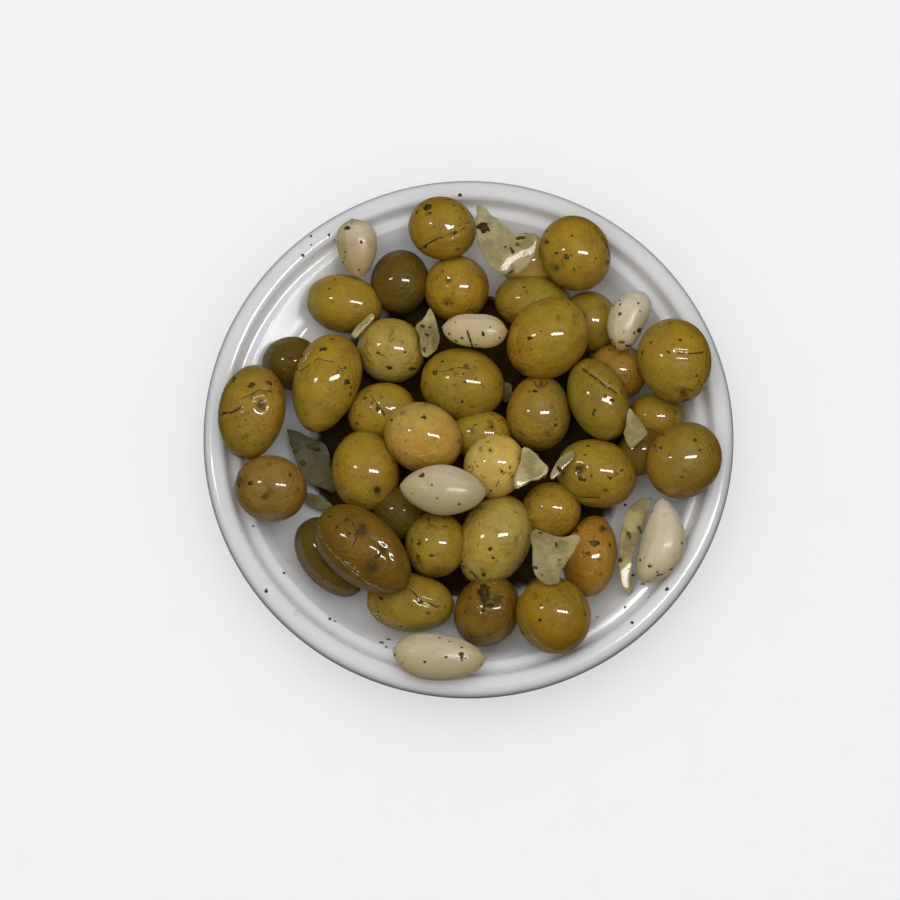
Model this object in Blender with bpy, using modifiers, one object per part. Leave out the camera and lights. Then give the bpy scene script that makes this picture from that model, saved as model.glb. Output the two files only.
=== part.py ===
"""Shallow white dish of marinated olives with garlic cloves, onion pieces and herb flakes.

The origin is under the middle of the dish's foot, +Z is up and the near side of the dish is at -Y.
All sizes below are millimetres. A place is given as it looks from the near side at VIEW_ELEVATION,
measured in the plane of the rim, and a piece then lies where that line of sight meets its own height.
Each piece is dropped onto what already lies in the dish, so the heap's heights follow from the order.
"""
import math

import bmesh
import bpy
import numpy as np
from mathutils import Vector
from mathutils.bvhtree import BVHTree

MM = 0.001

# Dish
RIM_RADIUS = 88.5
DISH_HEIGHT = 20.5
LIP_WIDTH = 7.2
LIP_DEPTH = 6.4
GROOVE_RADIUS = 79.9
GROOVE_HEIGHT = 15.9
LEDGE_RADIUS = 76.6
LEDGE_HEIGHT = 16.4
FLOOR_RADIUS = 70.0
FLOOR_HEIGHT = 5.6
WALL_THICKNESS = 3.2
FOOT_RADIUS = 57.0
FOOT_WIDTH = 3.6
FOOT_DEPTH = 2.2
LIP_UNDERCUT = 4.2
WALL_SPREAD = 6.5
FLOOR_FILLET = 7.0
LIP_INNER_FILLET = 2.6
LIP_OUTER_FILLET = 3.3
DISH_STEPS = 56

# Line of sight that the places are read along
VIEW_ELEVATION = math.radians(77)
VIEW_DISTANCE = 1700.0

# Heap
GAP = 0.35
NESTLE = 0.80
CORE_RADIUS = 56.0
CORE_TOP_RADIUS = 30.0
CORE_TOP = 11.0
NECK_RADIUS = 3.0
NECK_REACH = 42.0
NECK_FROM = 50.0
NECK_ROOTS = {"left_near_neck": (-44.0, -32.0), "left_edge_neck": (-44.0, 9.0)}
GRID_CELL = 0.5
GRID_SIZE = 400
OLIVE_SIDES = 10
OLIVE_RINGS = 7
CLOVE_SIDES = 12
CLOVE_RINGS = 8
CLOVE_FULLNESS = 0.62
CLOVE_BEND_REST = 0.4
FLAKE_SIDES = 6
FLAKE_RINGS = 3
FLAKE_THICKNESS = 1.0
ONION_THICKNESS = 1.2

# Olives: x, y, half length, half width, turn from +X, taper towards the turned end
OLIVES = {
    "far_left_dark": (-22.8, 50.7, 11.0, 9.8, 80, 0.0),
    "far_right_hidden": (20.5, 57.5, 10.0, 9.0, 0, 0.0),
    "right_far_shaded": (40.6, 37.6, 10.5, 9.5, 110, 0.0),
    "right_orange": (49.5, 20.9, 10.0, 9.5, 0, 0.0),
    "left_far_brown": (-58.9, 23.6, 10.0, 9.0, 0, 0.0),
    "left_centre": (-29.2, 7.6, 11.5, 9.5, 15, 0.0),
    "middle": (4.2, -0.2, 10.5, 8.5, 0, 0.0),
    "right_small": (62.3, 5.4, 9.5, 8.7, 0, 0.0),
    "right_hidden": (57.5, -5.6, 8.6, 7.6, 40, 0.0),
    "near_left_hidden": (-22.6, -26.4, 9.5, 9.0, 0, 0.0),
    "near_left_split": (-46.0, -41.0, 15.0, 9.5, -55, -0.1),
    "near_right_shaded": (27.5, -25.5, 10.0, 9.5, 0, 0.0),
    "far_left": (-8.8, 68.6, 11.5, 10.5, -20, 0.0),
    "far_right": (35.5, 60.5, 13.0, 11.8, -60, 0.0),
    "left_far": (-41.4, 43.6, 12.8, 9.8, -12, 0.0),
    "far_green": (21.5, 43.9, 13.2, 9.6, -8, 0.0),
    "left_pale": (-25.8, 28.0, 11.6, 10.8, -20, 0.0),
    "far_orange": (-3.9, 48.6, 11.2, 10.8, 90, 0.0),
    "left_edge": (-72.2, 7.5, 16.0, 11.0, 80, 0.05),
    "left_near": (-66.0, -18.1, 12.0, 11.0, -15, 0.0),
    "right_edge": (68.8, 24.5, 14.3, 12.2, 102, 0.05),
    "right_green": (43.3, 11.7, 14.3, 9.8, 111, 0.0),
    "right_near": (71.8, -8.8, 13.3, 12.0, 50, 0.0),
    "middle_right": (23.4, 7.3, 12.9, 10.9, 85, -0.05),
    "middle_far": (-2.0, 16.7, 14.2, 12.0, -8, 0.0),
    "top_yellow": (26.6, 32.2, 14.8, 12.8, 50, 0.0),
    "left_pointed": (-47.6, 17.1, 17.0, 11.0, 73, 0.12),
    "centre_orange": (-15.2, -1.1, 13.3, 11.5, -25, 0.0),
    "centre_pale": (8.7, -10.3, 10.8, 10.3, 60, 0.0),
    "right_bumpy": (42.6, -12.9, 13.6, 11.3, -15, 0.0),
    "left_golden": (-34.4, -12.4, 14.0, 11.1, 98, 0.0),
    "near_small": (-10.9, -36.8, 11.0, 10.0, 90, 0.0),
    "near_right_orange": (40.6, -40.6, 14.0, 8.8, 80, -0.05),
    "near_left_edge": (-19.4, -56.1, 14.5, 9.8, -5, 0.0),
    "near_middle_edge": (6.2, -58.7, 12.2, 10.8, 60, 0.0),
    "near_right_edge": (28.4, -60.2, 12.9, 12.0, 120, 0.0),
    "near_pale": (8.6, -35.4, 16.0, 11.7, 66, 0.05),
    "near_left_brown": (-34.7, -38.9, 18.5, 11.5, -40, -0.1),
}

# Garlic cloves: x, y, half length, half width, half thickness, turn, pitch, bend, taper, bluntness
CLOVES = {
    "garlic_far_left": (-37.2, 62.2, 10.0, 6.8, 5.6, 96, 8, 0.3, 0.22, 2.6),
    "garlic_far_right": (53.4, 38.0, 10.8, 6.4, 5.8, 66, 0, -1.8, 0.08, 2.8),
    "garlic_middle_far": (2.1, 34.7, 10.8, 5.7, 5.0, -4, 0, 0.0, 0.08, 3.0),
    "garlic_centre": (-8.5, -18.5, 14.4, 8.6, 7.0, -4, 0, 0.0, 0.0, 1.75),
    "garlic_right_near": (63.8, -35.8, 15.0, 7.6, 6.6, 77, 0, 3.4, -0.10, 1.9),
    "garlic_near": (-9.8, -74.0, 15.5, 7.7, 6.4, -6, 0, 0.6, -0.12, 2.4),
}

# Onion pieces: outline as seen, then the roll's direction, its depth and the slopes along x and y
ONIONS = {
    "onion_far": ([(3, 76), (8, 73), (12, 69.5), (15, 67), (23, 66.5), (22, 60), (19, 55.5), (14, 53.6),
                   (8, 55), (3, 64)], 60, 2.0, 0.0, 0.10),
    "onion_left_far": ([(-12.8, 42), (-10.6, 37.6), (-9.6, 31), (-11.6, 27.2), (-15.4, 26.3), (-15.8, 31),
                        (-17.6, 36), (-15, 38.6)], 80, 1.0, -0.2, 0.0),
    "onion_left_thin": ([(-32.2, 40.4), (-31.3, 38.8), (-34.2, 35.6), (-37.4, 32.4), (-39.0, 33.4),
                         (-36.4, 36.8)], 45, 0.3, 0.0, 0.0),
    "onion_left_large": ([(-60, 1.5), (-54, -0.5), (-47.5, -3.5), (-45.5, -12), (-44, -19), (-50, -17.6),
                          (-55.3, -14.5), (-58, -7)], 30, 1.6, 0.0, 0.12),
    "onion_left_shard": ([(-55, -19.5), (-51, -20), (-44.6, -24.2), (-46, -26.2), (-51, -24.6),
                          (-54.6, -22.4)], 0, 0.5, 0.0, 0.0),
    "onion_gap": ([(12.0, 17.4), (14.4, 16.0), (14.0, 12.0), (12.2, 10.6), (11.0, 13.6)], 0, 0.2, 0.0, 0.0),
    "onion_centre": ([(18.5, -4), (23.8, -8), (26.5, -11.6), (24.2, -14.7), (20.5, -15.7), (16.5, -17.8),
                      (15.8, -15), (17.2, -9)], 20, 0.9, -0.15, 0.0),
    "onion_centre_strip": ([(34.5, -5.3), (35.0, -7.8), (31.6, -11.6), (28.2, -15), (27.2, -13.6),
                            (30.2, -8.1)], 45, 0.4, 0.0, 0.0),
    "onion_right_small": ([(53.8, 8.8), (56.2, 5.7), (59.6, 0.9), (58.2, -1.2), (54.5, -4.6), (52.4, -2.2),
                           (52.2, 1.6), (52.8, 5.7)], 90, 0.6, 0.1, 0.0),
    "onion_right_strip": ([(61, -21.5), (59, -27), (57, -32.9), (55.4, -38.1), (53.4, -43.3), (53.4, -48),
                           (54.4, -53), (51.6, -52), (50.4, -47), (50.2, -42), (50.4, -36.5), (51, -31),
                           (53, -25.3), (57.2, -21.6)], 65, 1.2, 0.0, 0.0),
    "onion_near": ([(21.5, -31.9), (30, -34), (37.2, -33.6), (34.6, -40), (31.2, -45), (29.8, -49.5),
                    (26.5, -50.2), (22.2, -47), (21.2, -38)], 10, 1.4, 0.0, -0.2),
}

# The order in which the pieces were laid in the dish, lowest first
LAID = """
    far_left_dark far_right_hidden right_far_shaded right_orange left_far_brown left_centre middle
    right_small right_hidden near_left_hidden near_left_split near_right_shaded
    onion_left_large onion_left_shard onion_gap
    left_edge left_near far_left far_right onion_far garlic_far_left left_far far_orange far_green left_pale
    onion_left_thin garlic_far_right right_edge right_green middle_far onion_left_far middle_right
    top_yellow left_pointed centre_orange centre_pale left_golden right_bumpy onion_centre_strip right_near
    onion_right_small
    near_small near_right_orange near_left_edge near_middle_edge near_right_edge garlic_near onion_right_strip
    garlic_right_near near_pale near_left_brown garlic_middle_far garlic_centre onion_centre onion_near
""".split()

# Herb flakes: x, y as seen, then length, width and turn
HEAP_FLAKES = [
    (-50.5, 16.0, 3.4, 2.4, 30), (-53.5, 23.4, 3.0, 1.6, -20), (-14.6, 9.0, 1.6, 1.6, 0),
    (-30.0, -18.9, 2.6, 2.2, 60), (26.5, -22.0, 3.0, 2.0, 10), (35.2, -12.2, 3.4, 2.6, 90),
    (-34.0, -25.4, 3.2, 1.8, -50), (9.6, -36.8, 1.8, 1.4, 0), (7.8, -45.2, 2.0, 1.6, 0),
    (-15.4, 66.0, 3.0, 2.6, 20), (-11.0, 61.0, 2.8, 1.6, 10), (18.0, 31.0, 2.0, 1.2, 0),
    (-24.6, 21.5, 2.2, 2.0, 0), (-66.2, 15.4, 2.4, 1.6, 40), (43.4, -29.8, 3.0, 2.0, -30),
    (39.6, 9.4, 1.8, 1.4, 0), (73.0, -9.6, 2.2, 1.4, 40), (-3.0, 22.5, 2.2, 2.0, 0),
    (-27.6, 9.0, 2.6, 1.4, -60), (22.4, 14.6, 2.4, 2.0, 0), (-62.0, -19.6, 2.0, 1.6, 0),
    (-40.0, -32.4, 2.6, 1.2, -70), (5.0, -60.6, 2.4, 2.0, 30), (61.8, 33.2, 2.4, 2.0, 0),
]
CLOVE_FLAKES = {
    "garlic_far_left": [(-34.6, 60.8, 2.0, 1.8, 0)],
    "garlic_near": [(-0.8, -77.8, 2.6, 1.8, -60)],
    "garlic_right_near": [(70.6, -36.4, 1.4, 1.6, 0)],
    "garlic_middle_far": [(-0.4, 32.6, 4.4, 1.0, -65), (6.2, 35.2, 2.2, 1.6, -60)],
    "garlic_centre": [(-15.0, -13.6, 2.2, 1.8, 20)],
}

CERAMIC = ("white_glaze", (0.86, 0.86, 0.87), 0.12)
OLIVE_SKIN = ("olive_skin", (0.36, 0.25, 0.03), 0.25)
GARLIC_FLESH = ("garlic_flesh", (0.66, 0.55, 0.38), 0.30)
ONION_FLESH = ("onion_flesh", (0.42, 0.42, 0.28), 0.25)


def remove_everything():
    """Empty the scene of objects."""
    for old in list(bpy.data.objects):
        bpy.data.objects.remove(old, do_unlink=True)


def new_collection(name):
    """Make a collection in the scene."""
    group = bpy.data.collections.new(name)
    bpy.context.scene.collection.children.link(group)
    return group


def make_material(look):
    """Principled material of one colour and roughness."""
    name, colour, roughness = look
    material = bpy.data.materials.new(name)
    material.use_nodes = True
    shader = material.node_tree.nodes["Principled BSDF"]
    shader.inputs["Base Color"].default_value = (*colour, 1.0)
    shader.inputs["Roughness"].default_value = roughness
    shader.inputs["Metallic"].default_value = 0.0
    return material


def add_object(name, mesh, group, material=None, sharp_angle=40):
    """Put a mesh in a collection, shaded smooth but for its sharp edges."""
    made = bpy.data.objects.new(name, mesh)
    group.objects.link(made)
    if material is not None:
        mesh.materials.append(material)
    mesh.shade_smooth()
    mesh.set_sharp_from_angle(angle=math.radians(sharp_angle))
    return made


def rounded_path(corners):
    """Join corners (r, z, fillet, segments) by straight runs and round each one with an arc."""
    path = []
    for k, (r, z, fillet, segments) in enumerate(corners):
        corner = np.array([r, z], dtype=float)
        if fillet == 0:
            path.append(corner)
            continue
        back = np.array(corners[k - 1][:2]) - corner
        ahead = np.array(corners[k + 1][:2]) - corner
        back = back / np.linalg.norm(back)
        ahead = ahead / np.linalg.norm(ahead)
        half = 0.5 * math.acos(float(np.clip(back @ ahead, -1, 1)))
        reach = fillet / math.tan(half)
        middle = back + ahead
        centre = corner + middle / np.linalg.norm(middle) * fillet / math.sin(half)
        start = corner + back * reach - centre
        end = corner + ahead * reach - centre
        turn = math.atan2(start[0] * end[1] - start[1] * end[0], float(start @ end))
        for step in range(segments + 1):
            angle = turn * step / segments
            cos, sin = math.cos(angle), math.sin(angle)
            path.append(centre + np.array([cos * start[0] - sin * start[1], sin * start[0] + cos * start[1]]))
    return path


def dish_profile():
    """Half section of the dish: from the middle of its floor, over the lip and back under the foot."""
    lip_inner = RIM_RADIUS - LIP_WIDTH
    lip_bottom = DISH_HEIGHT - LIP_DEPTH
    under = FLOOR_HEIGHT - WALL_THICKNESS
    foot_inner = FOOT_RADIUS - FOOT_WIDTH
    return rounded_path([
        (0.0, FLOOR_HEIGHT, 0, 0),
        (FLOOR_RADIUS, FLOOR_HEIGHT, FLOOR_FILLET, 3),
        (LEDGE_RADIUS, LEDGE_HEIGHT, 1.4, 2),
        (GROOVE_RADIUS, GROOVE_HEIGHT, 2.0, 2),
        (lip_inner + 0.6, DISH_HEIGHT, LIP_INNER_FILLET, 3),
        (RIM_RADIUS, DISH_HEIGHT, LIP_OUTER_FILLET, 3),
        (RIM_RADIUS, lip_bottom, 2.6, 2),
        (RIM_RADIUS - LIP_UNDERCUT, lip_bottom - 0.4, 1.4, 1),
        (FLOOR_RADIUS + WALL_SPREAD, under + 0.3, 6.0, 2),
        (FOOT_RADIUS + 0.8, FOOT_DEPTH, 0.4, 1),
        (FOOT_RADIUS, 0.0, 0.6, 1),
        (foot_inner, 0.0, 0.6, 1),
        (foot_inner - 0.8, FOOT_DEPTH, 0.4, 1),
        (0.0, FOOT_DEPTH, 0, 0),
    ])


def make_dish(group, material):
    """Turn the half section about the dish's axis."""
    profile = dish_profile()
    bm = bmesh.new()
    corners = [bm.verts.new((r * MM, 0.0, z * MM)) for r, z in profile]
    for one, other in zip(corners, corners[1:]):
        bm.edges.new((one, other))
    mesh = bpy.data.meshes.new("dish")
    bm.to_mesh(mesh)
    bm.free()
    dish = add_object("dish", mesh, group, material)
    turned = dish.modifiers.new("turned", "SCREW")
    turned.axis = "Z"
    turned.angle = math.tau
    turned.steps = DISH_STEPS
    turned.render_steps = DISH_STEPS
    turned.use_merge_vertices = True
    turned.merge_threshold = 0.00001
    turned.use_smooth_shade = True
    return dish


SIGHT_BACK = np.array([0.0, -math.cos(VIEW_ELEVATION), math.sin(VIEW_ELEVATION)])
SIGHT_RIGHT = np.array([1.0, 0.0, 0.0])
SIGHT_UP = np.array([0.0, math.sin(VIEW_ELEVATION), math.cos(VIEW_ELEVATION)])
RIM_MIDDLE = np.array([0.0, 0.0, DISH_HEIGHT])
EYE = RIM_MIDDLE + VIEW_DISTANCE * SIGHT_BACK


def on_sight_line(x, y, z):
    """The points at heights z that are seen at the places x, y."""
    seen = RIM_MIDDLE + np.multiply.outer(x, SIGHT_RIGHT) + np.multiply.outer(y, SIGHT_UP)
    along = (np.asarray(z) - EYE[2]) / (seen[..., 2] - EYE[2])
    return EYE + (seen - EYE) * along[..., None]


class Pile:
    """Height maps of what already lies in the dish, on a square grid over it."""

    def __init__(self):
        inner = [point for point in dish_profile() if point[0] < RIM_RADIUS - 3.5]
        inner = inner[:next(k for k, point in enumerate(inner) if point[1] >= DISH_HEIGHT - 0.01) + 1]
        self.radii = np.array([point[0] for point in inner])
        self.heights = np.array([point[1] for point in inner])
        axis = (np.arange(GRID_SIZE) - GRID_SIZE // 2) * GRID_CELL
        radius = np.hypot(axis[:, None], axis[None, :])
        core = np.interp(radius, [CORE_TOP_RADIUS, CORE_RADIUS], [CORE_TOP, FLOOR_HEIGHT])
        self.support = core.copy()
        self.olives = np.where(radius < CORE_RADIUS + GRID_CELL, core, 0.0)
        self.toppings = np.zeros_like(core)

    def cells(self, points):
        """Grid cells under some points."""
        index = np.round(points[:, :2] / GRID_CELL).astype(int) + GRID_SIZE // 2
        index = np.clip(index, 1, GRID_SIZE - 2)
        return index[:, 0], index[:, 1]

    def room(self, height_map, points):
        """How far the points must rise to clear a height map."""
        i, j = self.cells(points)
        return float((height_map[i, j] - points[:, 2]).max())

    def dish_room(self, points):
        """How far the points must rise to clear the dish."""
        radius = np.hypot(points[:, 0], points[:, 1])
        return float((np.interp(radius, self.radii, self.heights) + GAP - points[:, 2]).max())

    def raise_map(self, height_map, points, spread):
        """Enter the points in a height map, with their neighbouring cells."""
        i, j = self.cells(points)
        for di in range(-spread, spread + 1):
            for dj in range(-spread, spread + 1):
                np.maximum.at(height_map, (i + di, j + dj), points[:, 2])

    def drop_olive(self, shape):
        """Height at which an olive lies; olives nestle into each other but clear all else."""
        z = DISH_HEIGHT
        for _ in range(8):
            whole, inner = shape(z, 1.0), shape(z, NESTLE)
            lift = max(self.dish_room(whole), self.room(self.support, inner), self.room(self.toppings, whole) + GAP)
            z += lift
        self.raise_map(self.support, shape(z, NESTLE), 0)
        self.raise_map(self.olives, shape(z, 1.0), 1)
        return z

    def drop_topping(self, shape):
        """Height at which a clove or an onion piece lies, clear of all that is under it."""
        z = DISH_HEIGHT
        for _ in range(8):
            whole = shape(z, 1.0)
            lift = max(self.dish_room(whole), self.room(self.olives, whole) + GAP,
                       self.room(self.toppings, whole) + GAP)
            z += lift
        self.raise_map(self.toppings, shape(z, 1.0), 1)
        return z


def even_sphere(count):
    """Points spread evenly over a unit sphere."""
    k = np.arange(count) + 0.5
    z = 1 - 2 * k / count
    ring = np.sqrt(1 - z * z)
    turn = k * math.pi * (3 - math.sqrt(5))
    return np.stack([ring * np.cos(turn), ring * np.sin(turn), z], axis=-1)


def turned_points(points, turn, pitch):
    """Pitch points about Y, nose up, then turn them about Z (degrees)."""
    p, t = math.radians(pitch), math.radians(turn)
    raised = np.array([[math.cos(p), 0, -math.sin(p)], [0, 1, 0], [math.sin(p), 0, math.cos(p)]])
    swung = np.array([[math.cos(t), -math.sin(t), 0], [math.sin(t), math.cos(t), 0], [0, 0, 1]])
    return points @ raised.T @ swung.T


def olive_form(unit, half_length, half_width, turn, taper):
    """Long form from unit-sphere points (axis Z), a little thicker at one end."""
    along = unit[:, 2]
    width = half_width * (1 + taper * along)
    shaped = np.stack([half_length * along, unit[:, 0] * width, unit[:, 1] * width], axis=-1)
    return turned_points(shaped, turn, 0)


def clove_form(unit, half_length, half_width, half_thickness, turn, pitch, bend, taper, blunt):
    """Clove from unit-sphere points (axis Z): bent, tapered, its ends blunt or pointed."""
    along = np.clip(unit[:, 2], -1, 1)
    ring = np.hypot(unit[:, 0], unit[:, 1])
    angle = np.arctan2(unit[:, 1], unit[:, 0])
    swell = np.where(ring > 1e-6, (1 - np.abs(along) ** blunt) ** CLOVE_FULLNESS, 0.0) * (1 + taper * along)
    across = half_width * swell * np.cos(angle) + bend * (along ** 2 - CLOVE_BEND_REST)
    thick = half_thickness * swell * np.sin(angle)
    return turned_points(np.stack([half_length * along, across, thick], axis=-1), turn, pitch)


def smooth_outline(corners, per_side):
    """Closed smooth curve through the corners, per_side points from each to the next."""
    corners = np.array(corners, dtype=float)
    before, after, second = np.roll(corners, 1, 0), np.roll(corners, -1, 0), np.roll(corners, -2, 0)
    points = []
    for t in np.arange(per_side) / per_side:
        points.append(0.5 * (2 * corners + (after - before) * t
                             + (2 * before - 5 * corners + 4 * after - second) * t ** 2
                             + (3 * corners - before - 3 * after + second) * t ** 3))
    return np.stack(points, axis=1).reshape(-1, 2)


def sheet_heights(places, centre, roll, depth, slope_x, slope_y):
    """Height of a curved sheet above its middle: a shallow roll, sloped along x and y."""
    dx, dy = places[:, 0] - centre[0], places[:, 1] - centre[1]
    roll = math.radians(roll)
    across = -dx * math.sin(roll) + dy * math.cos(roll)
    reach = max(float(np.abs(across).max()), 1.0)
    return -depth * (across / reach) ** 2 + slope_x * dx + slope_y * dy


def sheet_rings(piece, per_side, rings):
    """A sheet's seen places, ring by ring from its outline to its middle, and their heights."""
    corners, roll, depth, slope_x, slope_y = piece
    edge = smooth_outline(corners, per_side)
    centre = edge.mean(axis=0)
    places = np.concatenate([centre + (edge - centre) * (1 - k / rings) for k in range(rings)] + [centre[None]])
    return places, sheet_heights(places, centre, roll, depth, slope_x, slope_y), len(edge)


def sphere_mesh(name, sides, rings, form):
    """A UV sphere whose points are moved by a form, in millimetres."""
    bm = bmesh.new()
    bmesh.ops.create_uvsphere(bm, u_segments=sides, v_segments=rings, radius=1.0)
    unit = np.array([v.co[:] for v in bm.verts])
    for vert, place in zip(bm.verts, form(unit)):
        vert.co = Vector(place) * MM
    mesh = bpy.data.meshes.new(name)
    bm.to_mesh(mesh)
    bm.free()
    return mesh


def sheet_mesh(name, piece, z):
    """Open sheet over the rings of its outline."""
    places, heights, count = sheet_rings(piece, 2, 2)
    points = on_sight_line(places[:, 0], places[:, 1], heights + z) * MM
    bm = bmesh.new()
    verts = [bm.verts.new(point) for point in points]
    for k in range(count):
        after = (k + 1) % count
        bm.faces.new((verts[k], verts[after], verts[count + after], verts[count + k]))
        bm.faces.new((verts[count + k], verts[count + after], verts[2 * count]))
    bmesh.ops.triangulate(bm, faces=bm.faces[:])
    bmesh.ops.recalc_face_normals(bm, faces=bm.faces[:])
    mesh = bpy.data.meshes.new(name)
    bm.to_mesh(mesh)
    bm.free()
    return mesh


def add_olive(pile, group, name, olive):
    """Drop an olive, make its solid and its neck down to the core."""
    x, y, half_length, half_width, turn, taper = olive
    spread = even_sphere(2600)

    def shape(z, scale):
        return olive_form(spread, half_length, half_width, turn, taper) * scale + on_sight_line(x, y, z)

    z = pile.drop_olive(shape)
    centre = on_sight_line(x, y, z)
    mesh = sphere_mesh(name, OLIVE_SIDES, OLIVE_RINGS,
                       lambda unit: olive_form(unit, half_length, half_width, turn, taper) + centre)
    add_object(name, mesh, group)
    reach = float(np.hypot(centre[0], centre[1]))
    if reach > NECK_FROM:
        add_neck(group, name + "_neck", centre, NECK_REACH / reach)


def add_neck(group, name, centre, inward):
    """Slanting rod that ties an outer olive to the core, hidden under the olives."""
    foot = NECK_ROOTS.get(name, centre[:2] * inward)
    root = Vector((*foot, FLOOR_HEIGHT + GAP + NECK_RADIUS))
    neck = Vector(centre) - root
    bm = bmesh.new()
    bmesh.ops.create_cone(bm, cap_ends=True, segments=6, radius1=NECK_RADIUS * MM, radius2=NECK_RADIUS * MM,
                          depth=neck.length * MM)
    tilt = neck.to_track_quat("Z", "Y").to_matrix().to_4x4()
    bmesh.ops.transform(bm, matrix=tilt, verts=bm.verts)
    bmesh.ops.translate(bm, vec=(root + neck / 2) * MM, verts=bm.verts)
    mesh = bpy.data.meshes.new(name)
    bm.to_mesh(mesh)
    bm.free()
    add_object(name, mesh, group)


def add_clove(pile, group, name, clove, material):
    """Drop a garlic clove and make its solid."""
    x, y = clove[:2]
    spread = even_sphere(2600)

    def shape(z, scale):
        return clove_form(spread, *clove[2:]) * scale + on_sight_line(x, y, z)

    z = pile.drop_topping(shape)
    mesh = sphere_mesh(name, CLOVE_SIDES, CLOVE_RINGS,
                       lambda unit: clove_form(unit, *clove[2:]) + on_sight_line(x, y, z))
    add_object(name, mesh, group, material)


def add_onion(pile, group, name, piece, material):
    """Drop an onion piece and make its thin solid."""
    places, heights, _ = sheet_rings(piece, 12, 12)
    half = ONION_THICKNESS / 2

    def shape(z, scale):
        middle = on_sight_line(places[:, 0], places[:, 1], heights + z)
        return np.concatenate([middle + (0, 0, half), middle - (0, 0, half)])

    z = pile.drop_topping(shape)
    onion = add_object(name, sheet_mesh(name, piece, z), group, material)
    thick = onion.modifiers.new("thick", "SOLIDIFY")
    thick.thickness = ONION_THICKNESS * MM
    thick.offset = 0.0


def joined_mesh(base, group):
    """Union of an object with a collection, without its inner hollows and loose scraps."""
    union = base.modifiers.new("union", "BOOLEAN")
    union.operation = "UNION"
    union.operand_type = "COLLECTION"
    union.collection = group
    union.solver = "EXACT"
    graph = bpy.context.evaluated_depsgraph_get()
    graph.update()
    mesh = bpy.data.meshes.new_from_object(base.evaluated_get(graph))
    base.modifiers.remove(union)
    bm = bmesh.new()
    bm.from_mesh(mesh)
    bmesh.ops.remove_doubles(bm, verts=bm.verts, dist=0.00002)
    bmesh.ops.dissolve_degenerate(bm, edges=bm.edges[:], dist=0.00002)
    keep_outer_body(bm)
    bmesh.ops.triangulate(bm, faces=bm.faces[:])
    bm.to_mesh(mesh)
    bm.free()
    for piece in list(group.objects):
        bpy.data.objects.remove(piece, do_unlink=True)
    return mesh


def keep_outer_body(bm):
    """Drop every body but the one with the most faces."""
    left, bodies = set(bm.faces), []
    while left:
        body, front = set(), [left.pop()]
        while front:
            face = front.pop()
            body.add(face)
            for edge in face.edges:
                for other in edge.link_faces:
                    if other in left:
                        left.remove(other)
                        front.append(other)
        bodies.append(body)
    bodies.sort(key=len)
    for body in bodies[:-1]:
        bmesh.ops.delete(bm, geom=list(body), context="FACES")
    bmesh.ops.delete(bm, geom=[v for v in bm.verts if not v.link_faces], context="VERTS")


def fuse_flakes(target, flakes, cutters):
    """Lay herb flakes on the surface seen at their places and join them to it."""
    graph = bpy.context.evaluated_depsgraph_get()
    graph.update()
    tree = BVHTree.FromObject(target, graph)
    eye = Vector(EYE) * MM
    for k, (x, y, length, width, turn) in enumerate(flakes):
        ray = Vector(on_sight_line(x, y, DISH_HEIGHT)) * MM - eye
        place, normal, _, _ = tree.ray_cast(eye, ray.normalized())
        if place is None:
            continue
        flat = normal.to_track_quat("Z", "Y").to_matrix()

        def flake(unit, flat=flat, place=place):
            body = unit * (length / 2, width / 2, FLAKE_THICKNESS / 2)
            return turned_points(body, turn, 0) @ np.array(flat).T + np.array(place) / MM

        add_object(f"flake_{k}", sphere_mesh(f"flake_{k}", FLAKE_SIDES, FLAKE_RINGS, flake), cutters)
    target.data = with_material(joined_mesh(target, cutters), target)


def with_material(mesh, target):
    """Give a joined mesh its object's material and smooth shading."""
    mesh.materials.clear()
    mesh.materials.append(target.data.materials[0])
    mesh.polygons.foreach_set("material_index", [0] * len(mesh.polygons))
    mesh.shade_smooth()
    mesh.set_sharp_from_angle(angle=math.radians(40))
    return mesh


def main():
    """Make the dish, drop everything into it and join the olives into one heap."""
    remove_everything()
    dish_group = new_collection("bowl_of_olives")
    cutters = new_collection("joined_pieces")
    make_dish(dish_group, make_material(CERAMIC))
    flesh = make_material(GARLIC_FLESH)
    onion_flesh = make_material(ONION_FLESH)

    bm = bmesh.new()
    depth = CORE_TOP - FLOOR_HEIGHT - GAP
    bmesh.ops.create_cone(bm, cap_ends=True, segments=24, radius1=CORE_RADIUS * MM, radius2=CORE_TOP_RADIUS * MM,
                          depth=depth * MM)
    bmesh.ops.translate(bm, vec=(0, 0, (FLOOR_HEIGHT + GAP + depth / 2) * MM), verts=bm.verts)
    mesh = bpy.data.meshes.new("olives")
    bm.to_mesh(mesh)
    bm.free()
    heap = add_object("olives", mesh, dish_group, make_material(OLIVE_SKIN))

    pile = Pile()
    for name in LAID:
        if name in OLIVES:
            add_olive(pile, cutters, name, OLIVES[name])
        elif name in CLOVES:
            add_clove(pile, dish_group, name, CLOVES[name], flesh)
        else:
            add_onion(pile, dish_group, name, ONIONS[name], onion_flesh)

    heap.data = with_material(joined_mesh(heap, cutters), heap)
    fuse_flakes(heap, HEAP_FLAKES, cutters)
    for name, flakes in CLOVE_FLAKES.items():
        fuse_flakes(bpy.data.objects[name], flakes, cutters)


main()
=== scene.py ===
import math

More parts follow.
